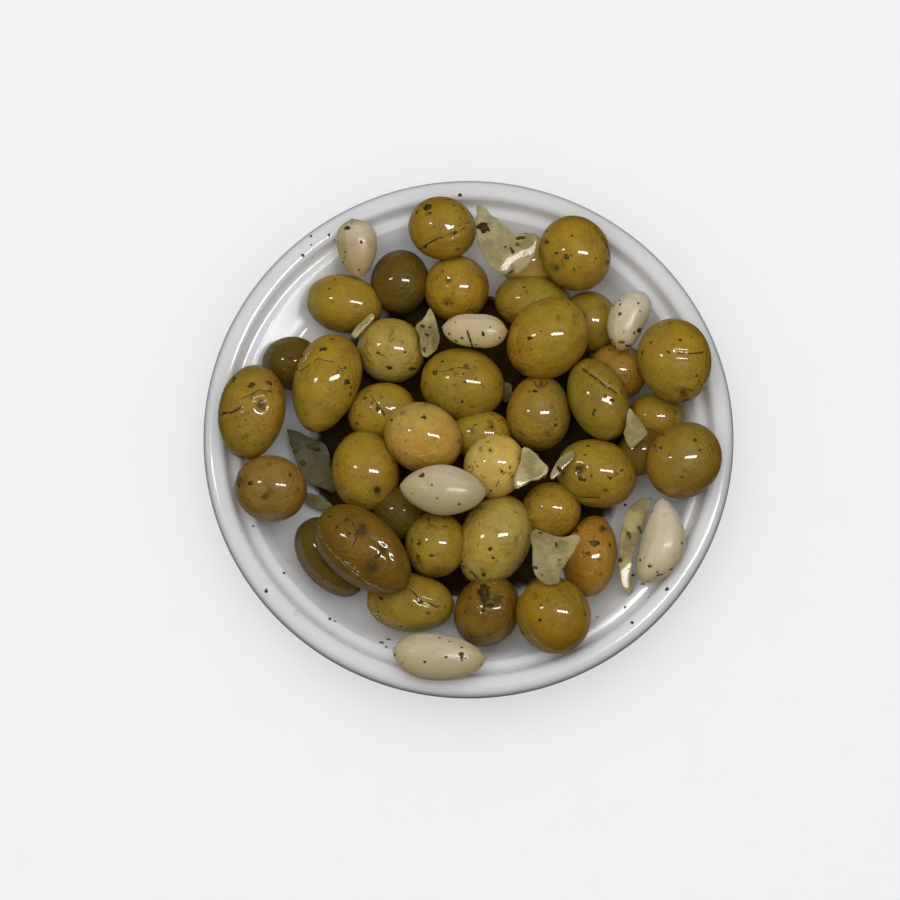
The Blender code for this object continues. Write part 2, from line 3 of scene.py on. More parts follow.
import bpy
import numpy as np
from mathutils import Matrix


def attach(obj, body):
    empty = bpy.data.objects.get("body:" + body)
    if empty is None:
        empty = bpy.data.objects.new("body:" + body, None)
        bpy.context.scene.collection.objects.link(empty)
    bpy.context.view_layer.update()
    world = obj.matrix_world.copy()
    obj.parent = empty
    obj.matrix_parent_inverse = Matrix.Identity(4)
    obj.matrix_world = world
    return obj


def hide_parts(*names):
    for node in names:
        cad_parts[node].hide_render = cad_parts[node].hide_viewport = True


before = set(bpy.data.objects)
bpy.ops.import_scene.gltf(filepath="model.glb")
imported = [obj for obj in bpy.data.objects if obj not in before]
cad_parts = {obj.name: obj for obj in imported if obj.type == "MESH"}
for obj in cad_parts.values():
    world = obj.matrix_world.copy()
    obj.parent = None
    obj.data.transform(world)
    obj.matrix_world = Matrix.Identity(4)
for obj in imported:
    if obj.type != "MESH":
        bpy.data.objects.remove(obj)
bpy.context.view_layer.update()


# Dish
# A shallow round dish of white stoneware, turned on a wheel and dipped in clear glossy glaze.
# It has a rolled lip, a shallow groove inside it, a stepped wall and a flat floor on a foot ring,
# whose underside is wiped free of glaze. Sizes in this script are millimetres, in materials metres.
MM = 0.001
RIM_RADIUS = 88.5
DISH_HEIGHT = 20.5
LIP_WIDTH = 7.2
LIP_DEPTH = 6.4
LIP_LEAN = 0.6
LIP_OVERHANG = 4.2
LIP_UNDERCUT = 0.4
LIP_FILLET = 2.6
LIP_TOP_FILLET = 3.3
GROOVE_RADIUS = 79.9
GROOVE_HEIGHT = 15.9
GROOVE_FILLET = 2.0
LEDGE_RADIUS = 76.6
LEDGE_HEIGHT = 16.4
LEDGE_FILLET = 1.4
FLOOR_RADIUS = 70.0
FLOOR_HEIGHT = 5.6
FLOOR_FILLET = 7.0
WALL_THICKNESS = 3.2
WALL_FLARE = 6.5
WALL_RISE = 0.3
WALL_FILLET = 6.0
FOOT_RADIUS = 57.0
FOOT_WIDTH = 3.6
FOOT_DEPTH = 2.2
FOOT_FLARE = 0.8
FOOT_FILLET = 0.6
FOOT_CORNER = 0.4
DISH_COLUMNS = 288


def rounded_path(corners, arc_step, run_step):
    """Corners (r, z, fillet) joined by straight runs and rounded by arcs, with a point every few degrees
    of an arc and every few mm of a run."""
    path = []
    for k, (r, z, fillet) in enumerate(corners):
        corner = np.array([r, z], dtype=float)
        arc = corner[None]
        if fillet:
            back, ahead = np.array(corners[k - 1][:2]) - corner, np.array(corners[k + 1][:2]) - corner
            back, ahead = back / np.linalg.norm(back), ahead / np.linalg.norm(ahead)
            half = 0.5 * math.acos(float(np.clip(back @ ahead, -1, 1)))
            middle = back + ahead
            centre = corner + middle / np.linalg.norm(middle) * fillet / math.sin(half)
            start = corner + back * fillet / math.tan(half) - centre
            end = corner + ahead * fillet / math.tan(half) - centre
            turn = math.atan2(start[0] * end[1] - start[1] * end[0], float(start @ end))
            angles = turn * np.linspace(0, 1, max(3, int(abs(math.degrees(turn)) / arc_step) + 2))
            arc = centre + np.stack([np.cos(angles) * start[0] - np.sin(angles) * start[1],
                                     np.sin(angles) * start[0] + np.cos(angles) * start[1]], axis=-1)
        if path:
            gap = float(np.linalg.norm(arc[0] - path[-1][-1]))
            share = np.linspace(0, 1, max(2, int(gap / run_step) + 2))[1:-1, None]
            path.append(path[-1][-1] * (1 - share) + arc[0] * share)
        path.append(arc)
    return np.concatenate(path)


def add_mesh(name, points, polygons):
    """A smooth-shaded mesh from points in mm and arrays of equal polygons, turned to face outwards."""
    corners = np.concatenate([faces.ravel() for faces in polygons])
    sizes = np.concatenate([np.full(len(faces), faces.shape[1]) for faces in polygons])
    mesh = bpy.data.meshes.new(name)
    mesh.vertices.add(len(points))
    mesh.vertices.foreach_set("co", (points * MM).astype(np.float32).ravel())
    mesh.loops.add(len(corners))
    mesh.loops.foreach_set("vertex_index", corners.astype(np.int32))
    mesh.polygons.add(len(sizes))
    mesh.polygons.foreach_set("loop_start", (np.cumsum(sizes) - sizes).astype(np.int32))
    mesh.update(calc_edges=True)
    mesh.shade_smooth()
    piece = bpy.data.objects.new(name, mesh)
    bpy.context.scene.collection.objects.link(piece)
    return piece


def spindle_faces(rings, columns):
    """Faces over rings of points between two single end points, first and last."""
    ring = 1 + np.arange(rings - 1)[:, None] * columns
    column = np.arange(columns)[None, :]
    after = (column + 1) % columns
    quads = np.stack([ring + column, ring + columns + column, ring + columns + after, ring + after], axis=-1)
    last = 1 + rings * columns
    top = np.stack([np.zeros(columns, int), 1 + column[0], 1 + after[0]], axis=-1)
    last_ring = last - columns
    bottom = np.stack([np.full(columns, last), last_ring + after[0], last_ring + column[0]], axis=-1)
    return quads.reshape(-1, 4), np.concatenate([top, bottom])


class Wire:
    """A value that runs through a material; sums and products of it become Math nodes."""

    def __init__(self, tree, socket=None):
        self.tree = tree
        self.socket = socket

    def node(self, kind, settings, sockets, output=0):
        """A node of this kind: its settings first, then each socket's value or the wire that feeds it."""
        made = self.tree.nodes.new(kind)
        for key, value in settings.items():
            setattr(made, key, value)
        for key, value in sockets.items():
            if isinstance(value, Wire):
                self.tree.links.new(value.socket, made.inputs[key])
            else:
                made.inputs[key].default_value = value
        return Wire(self.tree, made.outputs[output])

    def math(self, operation, *values):
        """A Math node on these values."""
        return self.node("ShaderNodeMath", {"operation": operation}, dict(enumerate(values)))

    def __add__(self, other):
        return self.math("ADD", self, other)

    __radd__ = __add__

    def __sub__(self, other):
        return self.math("SUBTRACT", self, other)

    def __rsub__(self, other):
        return self.math("SUBTRACT", other, self)

    def __mul__(self, other):
        return self.math("MULTIPLY", self, other)

    def rise(self, low, high):
        """0 below low, 1 above high and a smooth step between."""
        return self.node("ShaderNodeMapRange", {"interpolation_type": "SMOOTHSTEP"},
                         {"Value": self, "From Min": low, "From Max": high})

    def blend(self, first, second, how="MIX"):
        """The second colour over the first one, as much as this value says."""
        return self.node("ShaderNodeMix", {"data_type": "RGBA", "blend_type": how},
                         {0: self, 6: first, 7: second}, output=2)

    def noise(self, scale, detail=2.0, rough=0.5):
        """Soft noise at this wire's place, scale in waves per metre."""
        return self.node("ShaderNodeTexNoise", {}, {"Vector": self, "Scale": scale, "Detail": detail,
                                                    "Roughness": rough})

    def dots(self, scale):
        """Distance to the nearest of randomly strewn dots, in cells, scale in cells per metre."""
        return self.node("ShaderNodeTexVoronoi", {}, {"Vector": self, "Scale": scale})

    def axis_part(self, axis):
        """This vector's part along X, Y or Z (0, 1 or 2)."""
        return self.node("ShaderNodeSeparateXYZ", {}, {0: self}, output=axis)

    def radius(self):
        """This place's distance from the upright axis."""
        flat = self.node("ShaderNodeVectorMath", {"operation": "MULTIPLY"}, {0: self, 1: (1.0, 1.0, 0.0)})
        return flat.node("ShaderNodeVectorMath", {"operation": "LENGTH"}, {0: flat}, output=1)

    def bump(self, strength, distance, **sockets):
        """The shading direction, tilted by this wire's value as a height."""
        return self.node("ShaderNodeBump", {}, {"Strength": strength, "Distance": distance,
                                                "Height": self, **sockets})

    def field(self, name, output=2):
        """What the piece carries under this name at its points: a number, or with output 0 a colour."""
        return self.node("ShaderNodeAttribute", {"attribute_name": name}, {}, output)


def new_finish(name):
    """An empty material: returns it, its Principled shader and a wire of the piece's own coordinates."""
    material = bpy.data.materials.new(name)
    material.use_nodes = True
    tree = material.node_tree
    shader = tree.nodes["Principled BSDF"]
    place = Wire(tree).node("ShaderNodeTexCoord", {}, {}, output=3)
    return material, shader, place


def feed(shader, **values):
    """Set or link the shader's sockets; underscores in a name stand for spaces."""
    for key, value in values.items():
        socket = shader.inputs[key.replace("_", " ")]
        if isinstance(value, Wire):
            value.tree.links.new(value.socket, socket)
        else:
            socket.default_value = value


def dish_profile(arc_step, run_step):
    """Half section of the dish: from the middle of its floor, over the lip and back under the foot."""
    lip_inner = RIM_RADIUS - LIP_WIDTH
    lip_bottom = DISH_HEIGHT - LIP_DEPTH
    under = FLOOR_HEIGHT - WALL_THICKNESS
    foot_inner = FOOT_RADIUS - FOOT_WIDTH
    return rounded_path([
        (0.0, FLOOR_HEIGHT, 0),
        (FLOOR_RADIUS, FLOOR_HEIGHT, FLOOR_FILLET),
        (LEDGE_RADIUS, LEDGE_HEIGHT, LEDGE_FILLET),
        (GROOVE_RADIUS, GROOVE_HEIGHT, GROOVE_FILLET),
        (lip_inner + LIP_LEAN, DISH_HEIGHT, LIP_FILLET),
        (RIM_RADIUS, DISH_HEIGHT, LIP_TOP_FILLET),
        (RIM_RADIUS, lip_bottom, LIP_FILLET),
        (RIM_RADIUS - LIP_OVERHANG, lip_bottom - LIP_UNDERCUT, LEDGE_FILLET),
        (FLOOR_RADIUS + WALL_FLARE, under + WALL_RISE, WALL_FILLET),
        (FOOT_RADIUS + FOOT_FLARE, FOOT_DEPTH, FOOT_CORNER),
        (FOOT_RADIUS, 0.0, FOOT_FILLET),
        (foot_inner, 0.0, FOOT_FILLET),
        (foot_inner - FOOT_FLARE, FOOT_DEPTH, FOOT_CORNER),
        (0.0, FOOT_DEPTH, 0)], arc_step, run_step)


def turned_points(profile, columns):
    """The half section carried round the axis: x = r cos t, y = r sin t, its two ends single points."""
    turn = np.arange(columns) / columns * math.tau
    ring = np.stack([profile[1:-1, 0, None] * np.cos(turn), profile[1:-1, 0, None] * np.sin(turn),
                     np.broadcast_to(profile[1:-1, 1, None], (len(profile) - 2, columns))], axis=-1)
    return np.concatenate([[[0, 0, profile[0, 1]]], ring.reshape(-1, 3), [[0, 0, profile[-1, 1]]]])


def glaze():
    """White glaze: even, glossy and faintly wavy, over pale clay that shows under the foot. On the inner
    wall its shading leans upward by twice the straight-up direction, because the real wall takes more
    light from above, and the lip's outer side is made grey in colour as painted shade."""
    material, shader, place = new_finish("white_glaze")
    height = place.axis_part(2)
    bare = 1.0 - height.rise(0.0003, 0.0007)
    mottle = place.noise(45.0, 3.0)
    white = mottle.blend((0.87, 0.87, 0.885, 1), (0.91, 0.91, 0.92, 1))
    waves = place.noise(38.0, 1.0)
    fine = place.noise(420.0, 2.0)
    normal = place.node("ShaderNodeTexCoord", {}, {}, output=1)
    radius = place.radius()
    wall_top = LEDGE_RADIUS * MM
    inner = 1.0 - radius.rise(wall_top - 0.0001, wall_top + 0.0019)
    inside = normal.axis_part(2).rise(0.15, 0.35) * inner * 2.0
    bent = normal.node("ShaderNodeVectorMath", {"operation": "ADD"},
                       {0: normal, 1: normal.node("ShaderNodeCombineXYZ", {}, {2: inside})})
    bent = bent.node("ShaderNodeVectorMath", {"operation": "NORMALIZE"}, {0: bent})
    bump = (waves + fine * 0.04).bump(0.35, 0.0006, Normal=bent)
    # Painted shade: the outer side of the lip, below its top, is made grey in the glaze's colour.
    lip_top, lip_edge = DISH_HEIGHT * MM, RIM_RADIUS * MM
    side = 1.0 - height.rise(lip_top - 0.0027, lip_top - 0.0003)
    side = side * radius.rise(lip_edge - 0.0033, lip_edge - 0.0019)
    greyed = (side * 0.5).blend(white, (0.22, 0.22, 0.24, 1))
    feed(shader, Base_Color=bare.blend(greyed, (0.62, 0.58, 0.52, 1)),
         Roughness=0.20 + bare * 0.5 + fine * 0.05, Normal=bump, Coat_Weight=0.7, Coat_Roughness=0.05)
    return material


profile = dish_profile(arc_step=4.0, run_step=2.2)
dish = add_mesh("glazed_dish", turned_points(profile, DISH_COLUMNS),
                spindle_faces(len(profile) - 2, DISH_COLUMNS))
dish.data.materials.append(glaze())
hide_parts("dish")
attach(dish, "root")


# How the heap lies
# Olives, garlic and onion were tipped into the dish and settled on each other. A place is given as it
# looks from the near side in the plane of the rim, and each piece is dropped along its line of sight
# onto what already lies there, in the same order and by the same rule as the solids of the frame.
VIEW_ELEVATION = math.radians(77)
VIEW_DISTANCE = 1700.0
GAP = 0.35
NESTLE = 0.80
CORE_RADIUS = 56.0
CORE_TOP_RADIUS = 30.0
CORE_TOP = 11.0
GRID_CELL = 0.5
GRID_SIZE = 400
SETTLE_ROUNDS = 8
SPREAD_POINTS = 2600
SHEET_POINTS = 12
ONION_THICKNESS = 1.2

# x, y, half length, half width, turn, taper and tone
OLIVES = {
    "far_left_dark": (-22.8, 50.7, 11.0, 9.8, 80, 0.0, "dark"),
    "far_right_hidden": (20.5, 57.5, 10.0, 9.0, 0, 0.0, "pale"),
    "right_far_shaded": (40.6, 37.6, 10.5, 9.5, 110, 0.0, "green"),
    "right_orange": (49.5, 20.9, 10.0, 9.5, 0, 0.0, "orange"),
    "left_far_brown": (-58.9, 23.6, 10.0, 9.0, 0, 0.0, "dark"),
    "left_centre": (-29.2, 7.6, 11.5, 9.5, 15, 0.0, "gold"),
    "middle": (4.2, -0.2, 10.5, 8.5, 0, 0.0, "yellow"),
    "right_small": (62.3, 5.4, 9.5, 8.7, 0, 0.0, "gold"),
    "right_hidden": (57.5, -5.6, 8.6, 7.6, 40, 0.0, "brown"),
    "near_left_hidden": (-22.6, -26.4, 9.5, 9.0, 0, 0.0, "dark"),
    "near_left_split": (-46.0, -41.0, 15.0, 9.5, -55, -0.1, "dark"),
    "near_right_shaded": (27.5, -25.5, 10.0, 9.5, 0, 0.0, "gold"),
    "far_left": (-8.8, 68.6, 11.5, 10.5, -20, 0.0, "gold"),
    "far_right": (35.5, 60.5, 13.0, 11.8, -60, 0.0, "gold"),
    "left_far": (-41.4, 43.6, 12.8, 9.8, -12, 0.0, "yellow"),
    "far_green": (21.5, 43.9, 13.2, 9.6, -8, 0.0, "light_green"),
    "left_pale": (-25.8, 28.0, 11.6, 10.8, -20, 0.0, "pale_green"),
    "far_orange": (-3.9, 48.6, 11.2, 10.8, 90, 0.0, "gold"),
    "left_edge": (-72.2, 7.5, 16.0, 11.0, 80, 0.05, "olive"),
    "left_near": (-66.0, -18.1, 12.0, 11.0, -15, 0.0, "bronze"),
    "right_edge": (68.8, 24.5, 14.3, 12.2, 102, 0.05, "gold"),
    "right_green": (43.3, 11.7, 14.3, 9.8, 111, 0.0, "green"),
    "right_near": (71.8, -8.8, 13.3, 12.0, 50, 0.0, "olive"),
    "middle_right": (23.4, 7.3, 12.9, 10.9, 85, -0.05, "olive"),
    "middle_far": (-2.0, 16.7, 14.2, 12.0, -8, 0.0, "yellow"),
    "top_yellow": (26.6, 32.2, 14.8, 12.8, 50, 0.0, "gold"),
    "left_pointed": (-47.6, 17.1, 17.0, 11.0, 73, 0.12, "gold"),
    "centre_orange": (-15.2, -1.1, 13.3, 11.5, -25, 0.0, "peach"),
    "centre_pale": (8.7, -10.3, 10.8, 10.3, 60, 0.0, "pale"),
    "right_bumpy": (42.6, -12.9, 13.6, 11.3, -15, 0.0, "yellow"),
    "left_golden": (-34.4, -12.4, 14.0, 11.1, 98, 0.0, "gold"),
    "near_small": (-10.9, -36.8, 11.0, 10.0, 90, 0.0, "yellow"),
    "near_right_orange": (40.6, -40.6, 14.0, 8.8, 80, -0.05, "orange"),
    "near_left_edge": (-19.4, -56.1, 14.5, 9.8, -5, 0.0, "yellow"),
    "near_middle_edge": (6.2, -58.7, 12.2, 10.8, 60, 0.0, "brown"),
    "near_right_edge": (28.4, -60.2, 12.9, 12.0, 120, 0.0, "amber"),
    "near_pale": (8.6, -35.4, 16.0, 11.7, 66, 0.05, "pale_green"),
    "near_left_brown": (-34.7, -38.9, 18.5, 11.5, -40, -0.1, "brown"),
}

# x, y, half length, half width, half thickness, turn, pitch, bend, taper and bluntness
CLOVES = {
    "garlic_far_left": (-37.2, 62.2, 10.0, 6.8, 5.6, 96, 8, 0.3, 0.22, 2.6),
    "garlic_far_right": (53.4, 38.0, 10.8, 6.4, 5.8, 66, 0, -1.8, 0.08, 2.8),
    "garlic_middle_far": (2.1, 34.7, 10.8, 5.7, 5.0, -4, 0, 0.0, 0.08, 3.0),
    "garlic_centre": (-8.5, -18.5, 14.4, 8.6, 7.0, -4, 0, 0.0, 0.0, 1.75),
    "garlic_right_near": (63.8, -35.8, 15.0, 7.6, 6.6, 77, 0, 3.4, -0.10, 1.9),
    "garlic_near": (-9.8, -74.0, 15.5, 7.7, 6.4, -6, 0, 0.6, -0.12, 2.4),
}

# Outline as seen, the roll's direction, its depth and the slopes along x and y
ONIONS = {
    "onion_far": ([(3, 76), (8, 73), (12, 69.5), (15, 67), (23, 66.5), (22, 60), (19, 55.5), (14, 53.6),
                   (8, 55), (3, 64)], 60, 2.0, 0.0, 0.10),
    "onion_left_far": ([(-12.8, 42), (-10.6, 37.6), (-9.6, 31), (-11.6, 27.2), (-15.4, 26.3), (-15.8, 31),
                        (-17.6, 36), (-15, 38.6)], 80, 1.0, -0.2, 0.0),
    "onion_left_thin": ([(-32.2, 40.4), (-31.3, 38.8), (-34.2, 35.6), (-37.4, 32.4), (-39.0, 33.4),
                         (-36.4, 36.8)], 45, 0.3, 0.0, 0.0),
    "onion_left_large": ([(-60, 1.5), (-54, -0.5), (-47.5, -3.5), (-45.5, -12), (-44, -19), (-50, -17.6),
                          (-55.3, -14.5), (-58, -7)], 30, 1.6, 0.0, 0.12),
    "onion_left_shard": ([(-55, -19.5), (-51, -20), (-44.6, -24.2), (-46, -26.2), (-51, -24.6),
                          (-54.6, -22.4)], 0, 0.5, 0.0, 0.0),
    "onion_gap": ([(12.0, 17.4), (14.4, 16.0), (14.0, 12.0), (12.2, 10.6), (11.0, 13.6)], 0, 0.2, 0.0, 0.0),
    "onion_centre": ([(18.5, -4), (23.8, -8), (26.5, -11.6), (24.2, -14.7), (20.5, -15.7), (16.5, -17.8),
                      (15.8, -15), (17.2, -9)], 20, 0.9, -0.15, 0.0),
    "onion_centre_strip": ([(34.5, -5.3), (35.0, -7.8), (31.6, -11.6), (28.2, -15), (27.2, -13.6),
                            (30.2, -8.1)], 45, 0.4, 0.0, 0.0),
    "onion_right_small": ([(53.8, 8.8), (56.2, 5.7), (59.6, 0.9), (58.2, -1.2), (54.5, -4.6), (52.4, -2.2),
                           (52.2, 1.6), (52.8, 5.7)], 90, 0.6, 0.1, 0.0),
    "onion_right_strip": ([(61, -21.5), (59, -27), (57, -32.9), (55.4, -38.1), (53.4, -43.3), (53.4, -48),
                           (54.4, -53), (51.6, -52), (50.4, -47), (50.2, -42), (50.4, -36.5), (51, -31),
                           (53, -25.3), (57.2, -21.6)], 65, 1.2, 0.0, 0.0),
    "onion_near": ([(21.5, -31.9), (30, -34), (37.2, -33.6), (34.6, -40), (31.2, -45), (29.8, -49.5),
                    (26.5, -50.2), (22.2, -47), (21.2, -38)], 10, 1.4, 0.0, -0.2),
}

# The order in which the pieces were laid in the dish, lowest first
LAID = """
    far_left_dark far_right_hidden right_far_shaded right_orange left_far_brown left_centre middle
    right_small right_hidden near_left_hidden near_left_split near_right_shaded
    onion_left_large onion_left_shard onion_gap
    left_edge left_near far_left far_right onion_far garlic_far_left left_far far_orange far_green left_pale
    onion_left_thin garlic_far_right right_edge right_green middle_far onion_left_far middle_right
    top_yellow left_pointed centre_orange centre_pale left_golden right_bumpy onion_centre_strip right_near
    onion_right_small
    near_small near_right_orange near_left_edge near_middle_edge near_right_edge garlic_near
    onion_right_strip garlic_right_near near_pale near_left_brown garlic_middle_far garlic_centre
    onion_centre onion_near
""".split()

SIGHT_BACK = np.array([0.0, -math.cos(VIEW_ELEVATION), math.sin(VIEW_ELEVATION)])
SIGHT_RIGHT = np.array([1.0, 0.0, 0.0])
SIGHT_UP = np.array([0.0, math.sin(VIEW_ELEVATION), math.cos(VIEW_ELEVATION)])
RIM_MIDDLE = np.array([0.0, 0.0, DISH_HEIGHT])
EYE = RIM_MIDDLE + VIEW_DISTANCE * SIGHT_BACK


def on_sight_line(x, y, z):
    """The points at heights z on the lines from the eye through the places x, y of the rim's plane."""
    seen = RIM_MIDDLE + np.multiply.outer(x, SIGHT_RIGHT) + np.multiply.outer(y, SIGHT_UP)
    along = (np.asarray(z) - EYE[2]) / (seen[..., 2] - EYE[2])
    return EYE + (seen - EYE) * along[..., None]


def seen_places(points):
    """Where points are seen in the rim's plane: the central projection back from the eye."""
    offset = points - EYE
    share = VIEW_DISTANCE / -(offset @ SIGHT_BACK)
    return np.stack([offset @ SIGHT_RIGHT * share, offset @ SIGHT_UP * share], axis=-1)


def swing(points, turn, pitch):
    """Pitch points about Y, nose up, then turn them about Z (degrees)."""
    p, t = math.radians(pitch), math.radians(turn)
    raised = np.array([[math.cos(p), 0, -math.sin(p)], [0, 1, 0], [math.sin(p), 0, math.cos(p)]])
    swung = np.array([[math.cos(t), -math.sin(t), 0], [math.sin(t), math.cos(t), 0], [0, 0, 1]])
    return points @ raised.T @ swung.T


def olive_form(unit, half_length, half_width, turn, taper):
    """Long form from unit-sphere points: length times their z, width times their x and y, tapered."""
    width = half_width * (1 + taper * unit[:, 2])
    body = np.stack([half_length * unit[:, 2], unit[:, 0] * width, unit[:, 1] * width], axis=-1)
    return swing(body, turn, 0)


def clove_form(unit, half_length, half_width, half_thickness, turn, pitch, bend, taper, blunt):
    """Clove: the swell at a station s is (1 - |s|^blunt)^0.62, its middle line bends by s squared."""
    along = np.clip(unit[:, 2], -1, 1)
    ring = np.hypot(unit[:, 0], unit[:, 1])
    angle = np.arctan2(unit[:, 1], unit[:, 0])
    swell = np.where(ring > 1e-6, (1 - np.abs(along) ** blunt) ** 0.62, 0.0) * (1 + taper * along)
    across = half_width * swell * np.cos(angle) + bend * (along ** 2 - 0.4)
    thick = half_thickness * swell * np.sin(angle)
    return swing(np.stack([half_length * along, across, thick], axis=-1), turn, pitch)


def smooth_outline(corners, per_side):
    """Closed Catmull-Rom curve through the corners, per_side points from each to the next."""
    corners = np.array(corners, dtype=float)
    before, after, second = np.roll(corners, 1, 0), np.roll(corners, -1, 0), np.roll(corners, -2, 0)
    t = (np.arange(per_side) / per_side)[:, None, None]
    curve = 0.5 * (2 * corners + (after - before) * t
                   + (2 * before - 5 * corners + 4 * after - second) * t ** 2
                   + (3 * corners - before - 3 * after + second) * t ** 3)
    return curve.transpose(1, 0, 2).reshape(-1, 2)


def sheet_rings(piece, per_side, rings):
    """A sheet's seen places, ring by ring from its outline to its middle, and their heights: a shallow
    roll, -depth times the squared distance from the roll's line, sloped along x and y."""
    corners, roll, depth, slope_x, slope_y = piece
    edge = smooth_outline(corners, per_side)
    centre = edge.mean(axis=0)
    places = [centre + (edge - centre) * (1 - k / rings) for k in range(rings)]
    places = np.concatenate(places + [centre[None]])
    offset = places - centre
    roll = math.radians(roll)
    across = offset[:, 1] * math.cos(roll) - offset[:, 0] * math.sin(roll)
    heights = -depth * (across / max(float(np.abs(across).max()), 1.0)) ** 2 + offset @ (slope_x, slope_y)
    return places, heights, len(edge)


class Pile:
    """Height maps of what already lies in the dish, on a square grid over it."""

    def __init__(self):
        inner = dish_profile(arc_step=25.0, run_step=50.0)
        inner = inner[:int(np.argmax(inner[:, 1] >= DISH_HEIGHT - 0.01)) + 1]
        self.radii, self.heights = inner[:, 0], inner[:, 1]
        axis = (np.arange(GRID_SIZE) - GRID_SIZE // 2) * GRID_CELL
        radius = np.hypot(axis[:, None], axis[None, :])
        self.support = np.interp(radius, [CORE_TOP_RADIUS, CORE_RADIUS], [CORE_TOP, FLOOR_HEIGHT])
        self.olives = np.where(radius < CORE_RADIUS + GRID_CELL, self.support, 0.0)
        self.toppings = np.zeros_like(radius)

    def cells(self, points):
        """Grid cells under some points."""
        index = np.round(points[:, :2] / GRID_CELL).astype(int) + GRID_SIZE // 2
        index = np.clip(index, 1, GRID_SIZE - 2)
        return index[:, 0], index[:, 1]

    def room(self, height_map, points):
        """How far the points must rise to clear a height map."""
        return float((height_map[self.cells(points)] - points[:, 2]).max())

    def dish_room(self, points):
        """How far the points must rise to clear the dish."""
        radius = np.hypot(points[:, 0], points[:, 1])
        return float((np.interp(radius, self.radii, self.heights) + GAP - points[:, 2]).max())

    def enter(self, height_map, points, spread):
        """Put the points into a height map, with their neighbouring cells."""
        i, j = self.cells(points)
        for di in range(-spread, spread + 1):
            for dj in range(-spread, spread + 1):
                np.maximum.at(height_map, (i + di, j + dj), points[:, 2])

    def drop_olive(self, shape):
        """Height at which an olive lies; olives nestle into each other but clear all else."""
        z = DISH_HEIGHT
        for _ in range(SETTLE_ROUNDS):
            whole, inner = shape(z, 1.0), shape(z, NESTLE)
            z += max(self.dish_room(whole), self.room(self.support, inner),
                     self.room(self.toppings, whole) + GAP)
        self.enter(self.support, shape(z, NESTLE), 0)
        self.enter(self.olives, shape(z, 1.0), 1)
        return z

    def drop_topping(self, shape):
        """Height at which a clove or an onion piece lies, clear of all that is under it."""
        z = DISH_HEIGHT
        for _ in range(SETTLE_ROUNDS):
            whole = shape(z, 1.0)
            z += max(self.dish_room(whole), self.room(self.olives, whole) + GAP,
                     self.room(self.toppings, whole) + GAP)
        self.enter(self.toppings, shape(z, 1.0), 1)
        return z


def even_sphere(count):
    """Points spread evenly over a unit sphere, by the golden angle."""
    k = np.arange(count) + 0.5
    z = 1 - 2 * k / count
    turn = k * math.pi * (3 - math.sqrt(5))
    return np.stack([np.sqrt(1 - z * z) * np.cos(turn), np.sqrt(1 - z * z) * np.sin(turn), z], axis=-1)


def settle(pile, name, spread):
    """Drop one piece by its name and return the height of its middle."""
    if name in OLIVES:
        x, y, *form = OLIVES[name][:6]
        return pile.drop_olive(lambda z, scale: olive_form(spread, *form) * scale + on_sight_line(x, y, z))
    if name in CLOVES:
        x, y, *form = CLOVES[name]
        return pile.drop_topping(lambda z, scale: clove_form(spread, *form) + on_sight_line(x, y, z))
    places, heights, _ = sheet_rings(ONIONS[name], SHEET_POINTS, SHEET_POINTS)
    half = np.array([0, 0, ONION_THICKNESS / 2])

    def shape(z, scale):
        middle = on_sight_line(places[:, 0], places[:, 1], heights + z)
        return np.concatenate([middle + half, middle - half])

    return pile.drop_topping(shape)


pile = Pile()
even = even_sphere(SPREAD_POINTS)
LEVELS = {name: settle(pile, name, even) for name in LAID}


# Olives
# Large green table olives cured in brine and turned in a herb marinade: smooth, wet skins from
# yellow-green to brown, some cracked with a stone so that the marinade gets in, some with the scar
# of their stalk. They are one heap, made here olive by olive with their lumps, cuts and bruises.
TONES = {
    "gold": (0.440, 0.285, 0.024),
    "yellow": (0.395, 0.270, 0.024),
    "olive": (0.365, 0.240, 0.025),
    "green": (0.345, 0.248, 0.022),
    "light_green": (0.395, 0.300, 0.030),
    "dark": (0.152, 0.098, 0.009),
    "brown": (0.220, 0.132, 0.011),
    "bronze": (0.330, 0.200, 0.030),
    "amber": (0.350, 0.222, 0.014),
    "orange": (0.455, 0.250, 0.024),
    "peach": (0.590, 0.400, 0.080),
    "pale": (0.710, 0.515, 0.115),
    "pale_green": (0.490, 0.380, 0.073),
}

